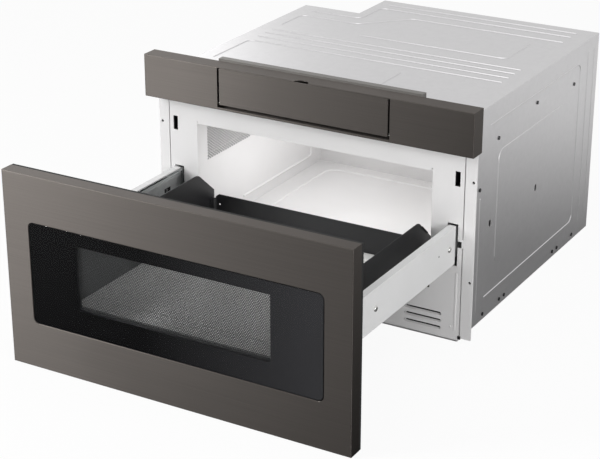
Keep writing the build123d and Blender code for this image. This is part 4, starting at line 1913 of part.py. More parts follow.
with BuildPart() as rack_guide:
    bearing_x = -GEAR_WIDTH / 2 - BEARING_GAP
    block(-GEARBOX_NEAR, GEARBOX_NEAR, PLATE, GUIDE_REAR, RACK_PITCH_LINE + DEDENDUM + SLIDE_GAP, GUIDE_TOP)
    block(
        -GEAR_WIDTH / 2 - SLIDE_GAP,
        GEAR_WIDTH / 2 + SLIDE_GAP,
        0,
        GUIDE_REAR + OVERCUT,
        0,
        RACK_TOP + SLIDE_GAP,
        mode=Mode.SUBTRACT,
    )
    block(bearing_x - BEARING_WALL, bearing_x, GEARBOX_FRONT, BEARING_REAR, SHEET, BEARING_TOP)
    rod_x(
        PINION_SHAFT_RADIUS + PIN_GAP,
        bearing_x - BEARING_WALL - OVERCUT,
        bearing_x + OVERCUT,
        PINION_Y,
        PINION_Z,
        mode=Mode.SUBTRACT,
    )
rack_guide.part.label = "rack_guide"
export_step(rack_guide.part, "parts/rack_guide.step")
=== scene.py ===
"""The looks of a built-in microwave drawer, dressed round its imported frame. Metres; Z is up."""

import json
import math

import bmesh
import bpy
from mathutils import Matrix, Vector


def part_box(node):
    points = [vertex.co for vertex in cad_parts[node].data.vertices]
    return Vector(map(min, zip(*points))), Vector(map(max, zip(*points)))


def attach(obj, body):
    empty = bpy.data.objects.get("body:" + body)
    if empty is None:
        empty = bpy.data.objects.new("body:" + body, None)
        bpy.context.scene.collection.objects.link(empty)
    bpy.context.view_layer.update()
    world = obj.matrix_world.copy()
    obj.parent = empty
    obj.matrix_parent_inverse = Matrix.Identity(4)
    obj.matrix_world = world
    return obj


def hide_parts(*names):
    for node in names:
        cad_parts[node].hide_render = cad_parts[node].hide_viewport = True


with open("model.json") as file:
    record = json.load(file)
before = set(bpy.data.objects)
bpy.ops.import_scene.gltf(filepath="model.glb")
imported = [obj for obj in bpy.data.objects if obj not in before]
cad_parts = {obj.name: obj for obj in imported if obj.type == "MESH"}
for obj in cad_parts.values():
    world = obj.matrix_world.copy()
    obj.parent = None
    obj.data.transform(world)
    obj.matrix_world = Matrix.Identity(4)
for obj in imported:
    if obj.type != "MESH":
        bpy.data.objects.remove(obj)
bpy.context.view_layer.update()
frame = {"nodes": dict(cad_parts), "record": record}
MM = 0.001

# ---------------------------------------------------------------- Camera, matched to the photograph
CAMERA_PLACE = (1.3200, -2.3035, 1.2579)
CAMERA_AZIMUTH = math.radians(30.19)
CAMERA_ELEVATION = math.radians(22.85)
CAMERA_LENS = 104.13
SENSOR_WIDTH = 36.0
CLIP_NEAR = 0.05
CLIP_FAR = 60.0

# ---------------------------------------------------------------- Stage and light
FLOOR_HALF_SIZE = 12.0
FLOOR_DROP = 0.5 * MM  # below the object's underside, so that the two never share a plane
FLOOR_SHADE = 0.86
FLOOR_GLOW = 0.93  # how far the floor is lifted to white where the camera sees it
FLOOR_MIRRORED = 0.85  # and where metal mirrors it
PAINTED_SHADOW_NEAR = (0.45, 0.10)  # painted shadow round the object on the floor, seen in metal only: distance from the world's origin, and the floor's brightness in metal there
PAINTED_SHADOW_FAR = (1.5, 0.95)
WORLD_MIRRORED = 0.82  # of the way to white, where metal mirrors the surround
WORLD_LIGHT = 0.34  # strength of the surround as a light
SOFTBOXES = {  # place, aim, size and power in watts
    "key": ((-2.35, -2.6, 1.5), (0.0, -0.3, 0.15), (0.8, 1.8), 76.0),
    "fill": ((2.75, -1.75, 0.9), (0.1, 0.1, 0.2), (1.6, 0.9), 46.0),
    "top": ((0.1, -0.6, 3.0), (0.0, -0.1, 0.1), (2.0, 2.0), 18.0),
    "top_front": ((-1.5, -1.8, 2.5), (0.0, 0.0, 0.2), (1.6, 1.6), 11.0),
    "rear_left": ((-3.2, 3.4, 1.9), (0.0, 0.2, 0.3), (1.6, 1.6), 12.0),
    "cavity": ((0.0, 0.2, 0.283), (0.0, 0.2, 0.0), (0.36, 0.34), 0.7),
}
HIDDEN_FROM_METAL = ("cavity",)  # softboxes that no metal mirrors

# ---------------------------------------------------------------- Sizes of the dressing
DOOR_MESH_PITCH = 3.0 * MM
DOOR_MESH_HOLE = 1.25 * MM  # radius
DOOR_MESH_WELD = 0.02  # share of the pitch within which neighbouring cells are joined
PRINT_DEPTH = 0.3 * MM  # behind the front of the door's glass
PRINT_THICKNESS = 0.1 * MM
PRINT_MARGIN = 0.4 * MM  # from the glass's edge
PRINT_CORNER = 8.5 * MM
PRINT_OPENING_LOW = (-170.0 * MM, 118.2 * MM)  # corners of the window, as (x, z)
PRINT_OPENING_HIGH = (170.2 * MM, 225.2 * MM)

FLANGE_HOLE_X = 291.4 * MM
FLANGE_HOLE_ZS = (108.0 * MM, 279.0 * MM)
CUP_FRONT = 2.4 * MM  # the flange's back face
CUP_FLOOR = 4.8 * MM
CUP_REAR = 5.6 * MM
CUP_BORE = 2.6 * MM  # radii
CUP_OUTSIDE = 3.2 * MM
# Lowest and highest corners of small blocks on the right side
NOTCH_SHADE = ((269.3 * MM, 0.2 * MM, 165.1 * MM), (274.9 * MM, 1.1 * MM, 175.3 * MM))
FLANGE_CLIP = ((274.2 * MM, -0.9 * MM, 5.0 * MM), (279.2 * MM, 1.0 * MM, 11.0 * MM))
MOUTH_GLIDE_AND_SHADE = ((212.0 * MM, 1.5 * MM, 84.0 * MM), (221.0 * MM, 14.0 * MM, 92.0 * MM))
LOUVRE_ZS = (17.5 * MM, 30.1 * MM, 42.7 * MM)  # middles of the openings
LOUVRE_HALF_HEIGHT = 3.2 * MM
# Painted shade in the louvres: ends in X of the matte-black strips
SHADE_STRIP_ENDS = (179.5 * MM, 240.5 * MM)
# Depth behind the frame's face, and height over an opening's lower edge
SHADE_STRIP_PROFILE = ((3.2 * MM, 2.31 * MM), (4.9 * MM, 3.54 * MM), (4.9 * MM, 3.74 * MM), (3.2 * MM, 2.51 * MM))

SLIDE_Z = 170.2 * MM  # middle of the slides
ARM_FACE_X = 266.0 * MM
ARM_RIVET_Y = -62.6 * MM
ARM_RIVET_Z = 172.0 * MM
ARM_RIVET = (1.4 * MM, 0.4 * MM)  # radius and height
RAIL_WEB_X = 260.8 * MM  # inner face of the middle rails' webs
RAIL_SUNK = 0.2 * MM  # how deep the small parts sit in those webs
RAIL_BEAD_END = 4.0 * MM  # from the rail's ends
RAIL_BEAD_OFFSET = 15.5 * MM  # from the slide's middle
RAIL_BEAD_HALF_WIDTH = 2.2 * MM
RAIL_BEAD_HEIGHT = 0.9 * MM
# Painted shade: a matte-black block stands for the dark inside of the stop's slot
STOP_SLOT_YS = (-45.0 * MM, -27.0 * MM)
STOP_SLOT_BELOW = 3.4 * MM
STOP_SLOT_ABOVE = 3.8 * MM
STOP_SLOT_STANDS = 0.15 * MM  # out of the web
STOP_RIVET_Y = -38.0 * MM
STOP_RIVET = (2.6 * MM, 1.1 * MM)  # radius and height

KEYPAD_SLOPE = math.radians(15.0)
KEYPAD_HALF_THICKNESS = 1.0 * MM
KEY_ROW_STEP = 15.0 * MM
DIGIT_ROWS = ("12345", "67890")
DIGIT_SIZE = 7.5 * MM
DIGIT_RELIEF = 0.03 * MM
DIGIT_STEP = 22.0 * MM
FIRST_DIGIT_X = 38.0 * MM
RING_XS = [x * MM for x in (-126.0, -104.0, -82.0, -60.0, -38.0)]
RING_WALL = [(3.6 * MM, 0.0), (4.1 * MM, 0.0), (4.1 * MM, 0.06 * MM), (3.6 * MM, 0.06 * MM)]

# ---------------------------------------------------------------- Grain of the materials
HORIZONTAL_GRAIN = (3.0, 3.0, 1600.0)  # noise per metre along each axis: long in X and Y, fine in Z
GRAIN_DIRECTION = (1.0, 0.0, 0.02)  # a hair off level, so that faces that look along X get a tangent too
PAINTED_REFLECTION_XS = (-0.05, 0.24)  # where a painted reflection starts to turn the door's print greyer, and where it is at its greyest


def hex_colour(code):
    """Linear RGBA of an sRGB colour written as #rrggbb."""
    parts = [int(code[i : i + 2], 16) / 255 for i in (1, 3, 5)]
    return (*[c / 12.92 if c <= 0.04045 else ((c + 0.055) / 1.055) ** 2.4 for c in parts], 1.0)


def even(per_metre):
    """A pattern's scale that is the same along each axis."""
    return (per_metre, per_metre, per_metre)


# ================================================================ Materials
class Shader:
    """A node material under construction, around one Principled shader."""

    def __init__(self, name, colour, roughness, metallic=0.0):
        self.material = bpy.data.materials.new(name)
        self.material.use_nodes = True
        self.nodes = self.material.node_tree.nodes
        self.links = self.material.node_tree.links
        self.principled = self.nodes["Principled BSDF"]
        self.colour = colour
        self.set("Roughness", roughness)
        self.set("Metallic", metallic)
        self.set("Base Color", colour)
        self.place = self.nodes.new("ShaderNodeTexCoord").outputs["Object"]

    def set(self, socket, value):
        self.principled.inputs[socket].default_value = value

    def stretched(self, scale):
        """Object coordinates multiplied by a scale for each axis."""
        mapping = self.nodes.new("ShaderNodeMapping")
        mapping.inputs["Scale"].default_value = scale
        self.links.new(self.place, mapping.inputs["Vector"])
        return mapping.outputs["Vector"]

    def noise(self, scale, detail=3.0, roughness=0.55):
        """A noise pattern whose grain follows a scale for each axis, per metre."""
        node = self.nodes.new("ShaderNodeTexNoise")
        node.inputs["Scale"].default_value = 1.0
        node.inputs["Detail"].default_value = detail
        node.inputs["Roughness"].default_value = roughness
        self.links.new(self.stretched(scale), node.inputs["Vector"])
        return node.outputs["Fac"]

    def cells(self, scale):
        """A cell pattern, such as zinc spangle, per metre."""
        node = self.nodes.new("ShaderNodeTexVoronoi")
        node.inputs["Scale"].default_value = 1.0
        self.links.new(self.stretched(scale), node.inputs["Vector"])
        return node.outputs["Color"]

    def ramp(self, source, low, high, start=0.3, end=0.7):
        """Maps a pattern from start..end to low..high."""
        node = self.nodes.new("ShaderNodeMapRange")
        node.inputs["From Min"].default_value = start
        node.inputs["From Max"].default_value = end
        node.inputs["To Min"].default_value = low
        node.inputs["To Max"].default_value = high
        self.links.new(source, node.inputs["Value"])
        return node.outputs["Result"]

    def tint(self, source, dark, light, start=0.3, end=0.7):
        """Colours the surface between two shades of its own colour, following a pattern."""
        mix = self.nodes.new("ShaderNodeMix")
        mix.data_type = "RGBA"
        mix.inputs["A"].default_value = (*[c * dark for c in self.colour[:3]], 1.0)
        mix.inputs["B"].default_value = (*[min(1.0, c * light) for c in self.colour[:3]], 1.0)
        self.links.new(self.ramp(source, 0.0, 1.0, start, end), mix.inputs["Factor"])
        self.links.new(mix.outputs["Result"], self.principled.inputs["Base Color"])

    def roughen(self, source, low, high):
        """Makes the roughness follow a pattern."""
        self.links.new(self.ramp(source, low, high), self.principled.inputs["Roughness"])

    def bump(self, source, depth, strength):
        """Adds fine relief of a real depth, in metres."""
        node = self.nodes.new("ShaderNodeBump")
        node.inputs["Strength"].default_value = strength
        node.inputs["Distance"].default_value = depth
        self.links.new(source, node.inputs["Height"])
        self.links.new(node.outputs["Normal"], self.principled.inputs["Normal"])


def brushed(name, colour, roughness, contrast, anisotropic):
    """Brushed metal whose fine lines run level, with a stretched highlight across them."""
    shader = Shader(name, colour, roughness, metallic=1.0)
    lines = shader.noise(HORIZONTAL_GRAIN, detail=4.0, roughness=0.7)
    clouds = shader.noise(even(3.0), detail=2.0)
    shader.tint(lines, 1.0 - contrast, 1.0 + contrast)
    shader.roughen(clouds, roughness - 0.04, roughness + 0.05)
    shader.bump(lines, 0.02 * MM, 0.3)
    shader.set("Anisotropic", anisotropic)
    surface = shader.nodes.new("ShaderNodeNewGeometry")
    tangent = shader.nodes.new("ShaderNodeVectorMath")
    tangent.operation = "CROSS_PRODUCT"
    shader.links.new(surface.outputs["Normal"], tangent.inputs[0])
    tangent.inputs[1].default_value = GRAIN_DIRECTION
    shader.links.new(tangent.outputs["Vector"], shader.principled.inputs["Tangent"])
    return shader.material


def enamel(name, colour, roughness, depth=0.03 * MM, coat=0.0):
    """Baked paint with a fine orange peel and a faint unevenness of shade."""
    shader = Shader(name, colour, roughness)
    peel = shader.noise(even(900.0), detail=2.0)
    clouds = shader.noise(even(7.0), detail=3.0)
    shader.tint(clouds, 0.975, 1.02)
    shader.roughen(clouds, roughness - 0.03, roughness + 0.04)
    shader.bump(peel, depth, 0.4)
    if coat:
        shader.set("Coat Weight", coat)
        shader.set("Coat Roughness", 0.15)
    return shader.material


def galvanised(name, colour, roughness):
    """Zinc-coated sheet: faint spangle, rolling lines and a soft sheen."""
    shader = Shader(name, colour, roughness, metallic=0.85)
    spangle = shader.cells(even(120.0))
    rolling = shader.noise((6.0, 320.0, 320.0), detail=3.0)
    clouds = shader.noise(even(5.0), detail=2.0)
    shader.tint(spangle, 0.975, 1.02, 0.0, 1.0)
    shader.roughen(clouds, roughness - 0.02, roughness + 0.02)
    shader.bump(rolling, 0.004 * MM, 0.3)
    return shader.material


def plated(name, colour, roughness, metallic=1.0):
    """Bright zinc or chrome on small parts, with fine drawing marks."""
    shader = Shader(name, colour, roughness, metallic)
    marks = shader.noise((1500.0, 40.0, 1500.0), detail=3.0)
    clouds = shader.noise(even(60.0), detail=2.0)
    shader.tint(clouds, 0.92, 1.05)
    shader.roughen(marks, roughness - 0.05, roughness + 0.07)
    shader.bump(marks, 0.005 * MM, 0.3)
    return shader.material


def plastic(name, colour, roughness, depth=0.04 * MM, grain=1400.0):
    """Moulded plastic with a fine spark-eroded texture."""
    shader = Shader(name, colour, roughness)
    texture = shader.noise(even(grain), detail=2.0)
    clouds = shader.noise(even(12.0), detail=2.0)
    shader.tint(clouds, 0.93, 1.06)
    shader.roughen(clouds, roughness - 0.04, roughness + 0.05)
    shader.bump(texture, depth, 0.5)
    return shader.material


def clear_glass(name, colour, body):
    """Clear or smoked glass with the faintest waviness; body is how much it hides."""
    shader = Shader(name, colour, 0.03)
    shader.set("Alpha", body)
    shader.set("Specular IOR Level", 0.5)
    waves = shader.noise(even(9.0), detail=1.0)
    shader.tint(waves, 0.97, 1.03)
    shader.bump(waves, 0.02 * MM, 0.2)
    return shader.material


def printed(name, colour):
    """Black print close under the face of glass, with a painted reflection that turns it greyer towards its
    right end.
    """
    shader = Shader(name, colour, 0.30)
    shader.set("Specular IOR Level", 0.05)
    place = shader.nodes.new("ShaderNodeSeparateXYZ")
    shader.links.new(shader.place, place.inputs[0])
    peel = shader.noise(even(500.0), detail=2.0)
    # painted reflection: the print's colour rises from a tenth to full towards its right end
    shader.tint(place.outputs["X"], 0.10, 1.0, *PAINTED_REFLECTION_XS)
    shader.roughen(peel, 0.27, 0.34)
    shader.bump(peel, 0.004 * MM, 0.2)
    return shader.material


def glazed(name, colour):
    """Glazed ceramic: glossy, with faint pin-prick relief."""
    shader = Shader(name, colour, 0.16)
    pricks = shader.noise(even(700.0), detail=2.0)
    clouds = shader.noise(even(10.0), detail=3.0)
    shader.tint(clouds, 0.975, 1.015)
    shader.roughen(clouds, 0.12, 0.22)
    shader.bump(pricks, 0.02 * MM, 0.3)
    return shader.material


MATERIALS = {
    "galvanised_sheet": galvanised("galvanised_sheet", hex_colour("#cecdce"), 0.34),
    "white_enamel": enamel("white_enamel", hex_colour("#e2e1e1"), 0.36),
    "black_stainless": brushed("black_stainless", hex_colour("#55514e"), 0.46, 0.11, anisotropic=0.95),
    "hood_steel": brushed("hood_steel", hex_colour("#7a7875"), 0.44, 0.08, anisotropic=0.50),
    "zinc_plated_arm": enamel("arm_paint", hex_colour("#dadada"), 0.40),
    "zinc_plated_slide": plated("zinc_plated_slide", hex_colour("#dcdede"), 0.42, metallic=0.30),
    "bearing_balls": plated("bearing_balls", hex_colour("#cfd0d2"), 0.10),
    "screws": plated("screws", hex_colour("#d4d4d2"), 0.18),
    "dark_screws": plated("dark_screws", hex_colour("#3a3a3c"), 0.26),
    "dark_basket": enamel("dark_basket", hex_colour("#1b1b1d"), 0.46, depth=0.05 * MM),
    "door_glass": clear_glass("door_glass", hex_colour("#101113"), 0.12),
    "inner_glass": clear_glass("inner_glass", hex_colour("#202424"), 0.05),
    "shield_screen": enamel("shield_screen", hex_colour("#383a3a"), 0.45),
    "black_plastic": plastic("black_plastic", hex_colour("#111114"), 0.42, depth=0.006 * MM),
    "matte_black": plastic("matte_black", hex_colour("#0c0c0d"), 0.80, depth=0.02 * MM),
    "grey_plastic": plastic("grey_plastic", hex_colour("#77777a"), 0.50),
    "keypad_glass": enamel("keypad_glass", hex_colour("#0d0d10"), 0.12, depth=0.01 * MM, coat=0.6),
    "tray_ceramic": glazed("tray_ceramic", hex_colour("#eeeeec")),
    "nylon": plastic("nylon", hex_colour("#dedcd2"), 0.42),
    "rubber": plastic("rubber", hex_colour("#1b1b1c"), 0.70, depth=0.06 * MM, grain=900.0),
    "stirrer_cover": plastic("stirrer_cover", hex_colour("#cfccc2"), 0.55),
    "steel_plate": galvanised("steel_plate", hex_colour("#a8abab"), 0.30),
    "transformer_core": enamel("transformer_core", hex_colour("#4b4845"), 0.50),
    "aluminium": plated("aluminium", hex_colour("#c9cacc"), 0.32),
    "circuit_board": plastic("circuit_board", hex_colour("#2f5a3a"), 0.35, depth=0.02 * MM),
}
PRINT_AND_PAINTED_REFLECTION = printed("glass_print_painted_reflection", hex_colour("#333335"))
MARKS = enamel("keypad_marks", hex_colour("#b4b8bb"), 0.35, depth=0.01 * MM)
SLOTS = {entry["node"]: entry["material_slot"] for entry in frame["record"]["subparts"]}


def paint(piece, material):
    """Gives a piece one material on all its faces."""
    piece.data.materials.clear()
    piece.data.materials.append(material)


for node_name, node in frame["nodes"].items():
    paint(node, MATERIALS[SLOTS[node_name]])


# ================================================================ Mesh helpers
def piece_from(mesh_data, name, slot, body, replaced=(), material=None):
    """Makes an object from a bmesh, in the frame's own space, ties it to its body, paints it with its slot's
    material unless another is given, and hides the nodes it replaces.
    """
    bmesh.ops.recalc_face_normals(mesh_data, faces=mesh_data.faces)
    mesh = bpy.data.meshes.new(name)
    mesh_data.to_mesh(mesh)
    mesh_data.free()
    piece = bpy.data.objects.new(name, mesh)
    bpy.context.scene.collection.objects.link(piece)
    paint(piece, material or MATERIALS[slot])
    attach(piece, body)
    if replaced:
        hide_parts(*replaced)


def add_block(mesh_data, low, high, bevel):
    """Adds a block with rounded edges, from its lowest to its highest corner."""
    verts = bmesh.ops.create_cube(mesh_data, size=1.0)["verts"]
    size = Vector(high) - Vector(low)
    middle = (Vector(high) + Vector(low)) / 2
    for vert in verts:
        vert.co = middle + Vector([c * s for c, s in zip(vert.co, size)])
    edges = list({edge for vert in verts for edge in vert.link_edges})
    bmesh.ops.bevel(mesh_data, geom=edges, offset=bevel, segments=2, profile=0.5, affect="EDGES")


def add_side_block(mesh_data, side, low, high, bevel):
    """Adds a block on one side: side -1 mirrors it to the left."""
    near, far = sorted((side * low[0], side * high[0]))
    add_block(mesh_data, (near, *low[1:]), (far, *high[1:]), bevel)


def join_rings(mesh_data, rings):
    """Adds the faces between each ring of vertices and the next."""
    for near, far in zip(rings, rings[1:]):
        for i in range(len(near)):
            j = (i + 1) % len(near)
            mesh_data.faces.new((near[i], near[j], far[j], far[i]))


def add_turned(mesh_data, profile, centre, axis, closed=False, sides=32):
    """Adds a turned form, from rings of (radius, height) along an axis; a closed profile makes a tube."""
    along = Vector(axis)
    across = along.orthogonal().normalized()
    third = along.cross(across)
    rings = []
    for radius, height in profile:
        ring = []
        for i in range(sides):
            angle = 2 * math.pi * i / sides
            spoke = across * math.cos(angle) + third * math.sin(angle)
            ring.append(mesh_data.verts.new(Vector(centre) + along * height + spoke * radius))
        rings.append(ring)
    if closed:
        rings.append(rings[0])
    else:
        mesh_data.faces.new(rings[0])
        mesh_data.faces.new(rings[-1])
    join_rings(mesh_data, rings)


def dome(radius, height, steps=5):
    """Profile of a low round head."""
    angles = [math.pi / 2 * i / steps for i in range(steps)]
    return [(radius * math.cos(a), height * math.sin(a)) for a in angles]


# ================================================================ Door: the screen with its fine holes
def perforated_sheet(low, high, pitch, hole):
    """A sheet across Y with staggered holes: one six-sided cell of metal round each hole."""
    spokes = [math.radians(90 + 60 * i) for i in range(6)]
    cells = bmesh.new()
    row_step = pitch * math.sqrt(3) / 2
    columns = int((high.x - low.x) / pitch) - 1
    rows = int((high.z - low.z) / row_step) - 1
    start_x = (low.x + high.x) / 2 - columns * pitch / 2
    start_z = (low.z + high.z) / 2 - rows * row_step / 2
    rim = pitch / math.sqrt(3)
    for row in range(rows + 1):
        for column in range(columns + row % 2):
            centre_x = start_x + (column + (0.5 if row % 2 == 0 else 0.0)) * pitch
            centre_z = start_z + row * row_step
            rings = []
            for y, radius in ((low.y, rim), (low.y, hole), (high.y, hole), (high.y, rim)):
                ring = []
                for angle in spokes:
                    x = centre_x + radius * math.cos(angle)
                    z = centre_z + radius * math.sin(angle)
                    ring.append(cells.verts.new((x, y, z)))
                rings.append(ring)
            join_rings(cells, rings)
    bmesh.ops.remove_doubles(cells, verts=cells.verts, dist=pitch * DOOR_MESH_WELD)
    return cells


piece_from(
    perforated_sheet(*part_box("door_screen"), DOOR_MESH_PITCH, DOOR_MESH_HOLE),
    "door_mesh",
    "shield_screen",
    "drawer",
    ["door_screen"],
)


# ================================================================ Door: the black print round the window
def rounded_outline(low_x, low_z, high_x, high_z, radius, steps=8):
    """Points of a rectangle with round corners, as (x, z)."""
    points = []
    corners = ((high_x, high_z, 0), (low_x, high_z, 90), (low_x, low_z, 180), (high_x, low_z, 270))
    for corner_x, corner_z, start in corners:
        centre_x = corner_x + radius * (1 if corner_x == low_x else -1)
        centre_z = corner_z + radius * (1 if corner_z == low_z else -1)
        for i in range(steps + 1):
            angle = math.radians(start + 90 * i / steps)
            points.append((centre_x + radius * math.cos(angle), centre_z + radius * math.sin(angle)))
    return points


def print_sheet(low, high):
    """A thin sheet as large as the glass, with the window's square-cornered opening."""
    sheet = bmesh.new()
    outer = rounded_outline(
        low.x + PRINT_MARGIN,
        low.z + PRINT_MARGIN,
        high.x - PRINT_MARGIN,
        high.z - PRINT_MARGIN,
        PRINT_CORNER,
    )
    (left, bottom), (right, top) = PRINT_OPENING_LOW, PRINT_OPENING_HIGH
    edges = []
    for outline in (outer, [(left, bottom), (right, bottom), (right, top), (left, top)]):
        verts = [sheet.verts.new((x, low.y + PRINT_DEPTH, z)) for x, z in outline]
        edges += [sheet.edges.new((a, b)) for a, b in zip(verts, verts[1:] + verts[:1])]
    bmesh.ops.triangle_fill(sheet, edges=edges, use_beauty=True)
    grown = bmesh.ops.extrude_face_region(sheet, geom=list(sheet.faces))
    moved = [item for item in grown["geom"] if isinstance(item, bmesh.types.BMVert)]
    bmesh.ops.translate(sheet, verts=moved, vec=(0.0, PRINT_THICKNESS, 0.0))
    return sheet


# the print's material carries a painted reflection, greyer towards the right end
piece_from(print_sheet(*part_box("door_glass")), "door_print", "black_plastic", "drawer", material=PRINT_AND_PAINTED_REFLECTION)


# ================================================================ Small parts on the front frame
def mirrored_pieces(name, slot, body, add):
    """One piece with the same small part on the left and on the right."""
    data = bmesh.new()
    for side in (-1, 1):
        add(data, side)
    piece_from(data, name, slot, body)


def add_cups_with_hole_shade(data, side):
    """Rubber cups behind the holes of a mounting flange; their black floors are painted shade seen through
    the holes.
    """
    cup = [(CUP_BORE, CUP_FLOOR), (CUP_BORE, CUP_FRONT), (CUP_OUTSIDE, CUP_FRONT), (CUP_OUTSIDE, CUP_REAR)]
    for z in FLANGE_HOLE_ZS:
        add_turned(data, cup, (side * FLANGE_HOLE_X, 0.0, z), (0.0, 1.0, 0.0))


def add_notch_shade(data, side):
    """A matte-black block in the outer end of the notch that lets the arm's screws pass: painted shade for
    the notch's dark inside.
    """
    add_side_block(data, side, *NOTCH_SHADE, bevel=0.2 * MM)


def add_flange_clip(data, side):
    """A clip across the lower end of the slit between the frame and the flange."""
    add_side_block(data, side, *FLANGE_CLIP, bevel=0.4 * MM)


def add_glide_and_shade(data, side):
    """A low black glide in the mouth's lower corner, under the basket; its black also stands as painted shade
    in that corner.
    """
    add_side_block(data, side, *MOUTH_GLIDE_AND_SHADE, bevel=1.0 * MM)


# black cups: painted shade seen through the flange's holes
mirrored_pieces("flange_bushes_hole_shade", "rubber", "cabinet", add_cups_with_hole_shade)
# painted shade: matte-black blocks in the notches
mirrored_pieces("notch_shades", "matte_black", "cabinet", add_notch_shade)
mirrored_pieces("flange_clips", "black_plastic", "cabinet", add_flange_clip)
# black glides, partly painted shade in the mouth's lower corners
mirrored_pieces("mouth_glides_and_shade", "black_plastic", "cabinet", add_glide_and_shade)


def louvre_painted_shades():
    """Matte-black strips on the inner ends of the louvres' ramps: painted shade for the dark inside of each
    opening.
    """
    data = bmesh.new()
    for z in LOUVRE_ZS:
        foot = z - LOUVRE_HALF_HEIGHT
        ends = []
        for x in SHADE_STRIP_ENDS:
            ends.append([data.verts.new((x, y, foot + rise)) for y, rise in SHADE_STRIP_PROFILE])
            data.faces.new(ends[-1])
        join_rings(data, ends)
    return data


# painted shade: matte-black strips in the louvres' openings
piece_from(louvre_painted_shades(), "louvre_painted_shades", "matte_black", "cabinet")


# ================================================================ Small parts on the arms and slides
def add_arm_rivet(data, side):
    """A low rivet in the arm, between its two screws."""
    place = (side * ARM_FACE_X, ARM_RIVET_Y, ARM_RIVET_Z)
    add_turned(data, dome(*ARM_RIVET), place, (side, 0.0, 0.0), sides=20)


def add_rail_bead(data, side):
    """Long pressed beads on the web of the middle rail."""
    rails_low, rails_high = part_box("middle_rails")
    for middle in (SLIDE_Z + RAIL_BEAD_OFFSET, SLIDE_Z - RAIL_BEAD_OFFSET):
        low = (RAIL_WEB_X - RAIL_BEAD_HEIGHT, rails_low.y + RAIL_BEAD_END, middle - RAIL_BEAD_HALF_WIDTH)
        high = (RAIL_WEB_X + RAIL_SUNK, rails_high.y - RAIL_BEAD_END, middle + RAIL_BEAD_HALF_WIDTH)
        add_side_block(data, side, low, high, bevel=0.5 * MM)


def add_stop_slot_shade(data, side):
    """A matte-black block on the middle rail's web, painted shade for the dark inside of its stop's slot."""
    low = (RAIL_WEB_X - STOP_SLOT_STANDS, STOP_SLOT_YS[0], SLIDE_Z - STOP_SLOT_BELOW)
    high = (RAIL_WEB_X + RAIL_SUNK, STOP_SLOT_YS[1], SLIDE_Z + STOP_SLOT_ABOVE)
    add_side_block(data, side, low, high, bevel=0.1 * MM)


def add_stop_rivet(data, side):
    """The bright rivet in that slot."""
    place = (side * (RAIL_WEB_X - STOP_SLOT_STANDS), STOP_RIVET_Y, SLIDE_Z)
    add_turned(data, dome(*STOP_RIVET), place, (-side, 0.0, 0.0), sides=24)


mirrored_pieces("arm_rivets", "dark_screws", "drawer", add_arm_rivet)
mirrored_pieces("rail_beads", "zinc_plated_slide", "middle_slides", add_rail_bead)
mirrored_pieces("stop_slot_shades", "matte_black", "middle_slides", add_stop_slot_shade)
mirrored_pieces("stop_rivets", "screws", "middle_slides", add_stop_rivet)


# ================================================================ Keypad: rings and digits
def keypad_place(x, up):
    """A matrix on the keypad's face, whose Z stands out of it."""
    low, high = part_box("touch_keypad")
    out = Vector((0.0, math.sin(KEYPAD_SLOPE), math.cos(KEYPAD_SLOPE)))
    rise = Vector((0.0, math.cos(KEYPAD_SLOPE), -math.sin(KEYPAD_SLOPE)))
    spot = (low + high) / 2 + out * KEYPAD_HALF_THICKNESS + rise * up
    return Matrix(
        (
            (1.0, 0.0, 0.0, x),
            (0.0, rise.y, out.y, spot.y),
            (0.0, rise.z, out.z, spot.z),
            (0.0, 0.0, 0.0, 1.0),
        )
    )


def add_digit(data, digit, place):
    """Adds one printed digit at a place."""
    text = bpy.data.curves.new("digit", "FONT")
    text.body = digit
    text.size = DIGIT_SIZE
    text.extrude = DIGIT_RELIEF
    text.align_x = "CENTER"
    text.align_y = "CENTER"
    holder = bpy.data.objects.new("digit", text)
    bpy.context.scene.collection.objects.link(holder)
    shape = bpy.data.meshes.new_from_object(holder.evaluated_get(bpy.context.evaluated_depsgraph_get()))
    shape.transform(place)
    data.from_mesh(shape)
    bpy.data.objects.remove(holder)
    bpy.data.meshes.remove(shape)


def keypad_marks():
    """Ten digits on the keypad's right half and ten rings on its left half."""
    data = bmesh.new()
    for row, digits in enumerate(DIGIT_ROWS):
        up = KEY_ROW_STEP * (0.5 - row)
        for column, digit in enumerate(digits):
            add_digit(data, digit, keypad_place(FIRST_DIGIT_X + column * DIGIT_STEP, up))
        for x in RING_XS:
            place = keypad_place(x, up)
            add_turned(data, RING_WALL, place.translation, place.col[2].xyz, closed=True)
    return data


piece_from(keypad_marks(), "keypad_marks", "keypad_glass", "control_panel", material=MARKS)


# ================================================================ Stage
def light_path_factor(nodes, links, seen, mirrored):
    """A factor for what the camera or glass sees, another for what metal mirrors, and 0 for light itself."""
    path = nodes.new("ShaderNodeLightPath")
    total = None
    for name, reach in (("Is Camera Ray", seen), ("Is Transmission Ray", seen), ("Is Glossy Ray", mirrored)):
        scale = nodes.new("ShaderNodeMath")
        scale.operation = "MULTIPLY"
        scale.inputs[1].default_value = reach
        links.new(path.outputs[name], scale.inputs[0])
        if total is None:
            total = scale.outputs[0]
            continue
        larger = nodes.new("ShaderNodeMath")
        larger.operation = "MAXIMUM"
        links.new(total, larger.inputs[0])
        links.new(scale.outputs[0], larger.inputs[1])
        total = larger.outputs[0]
    return total


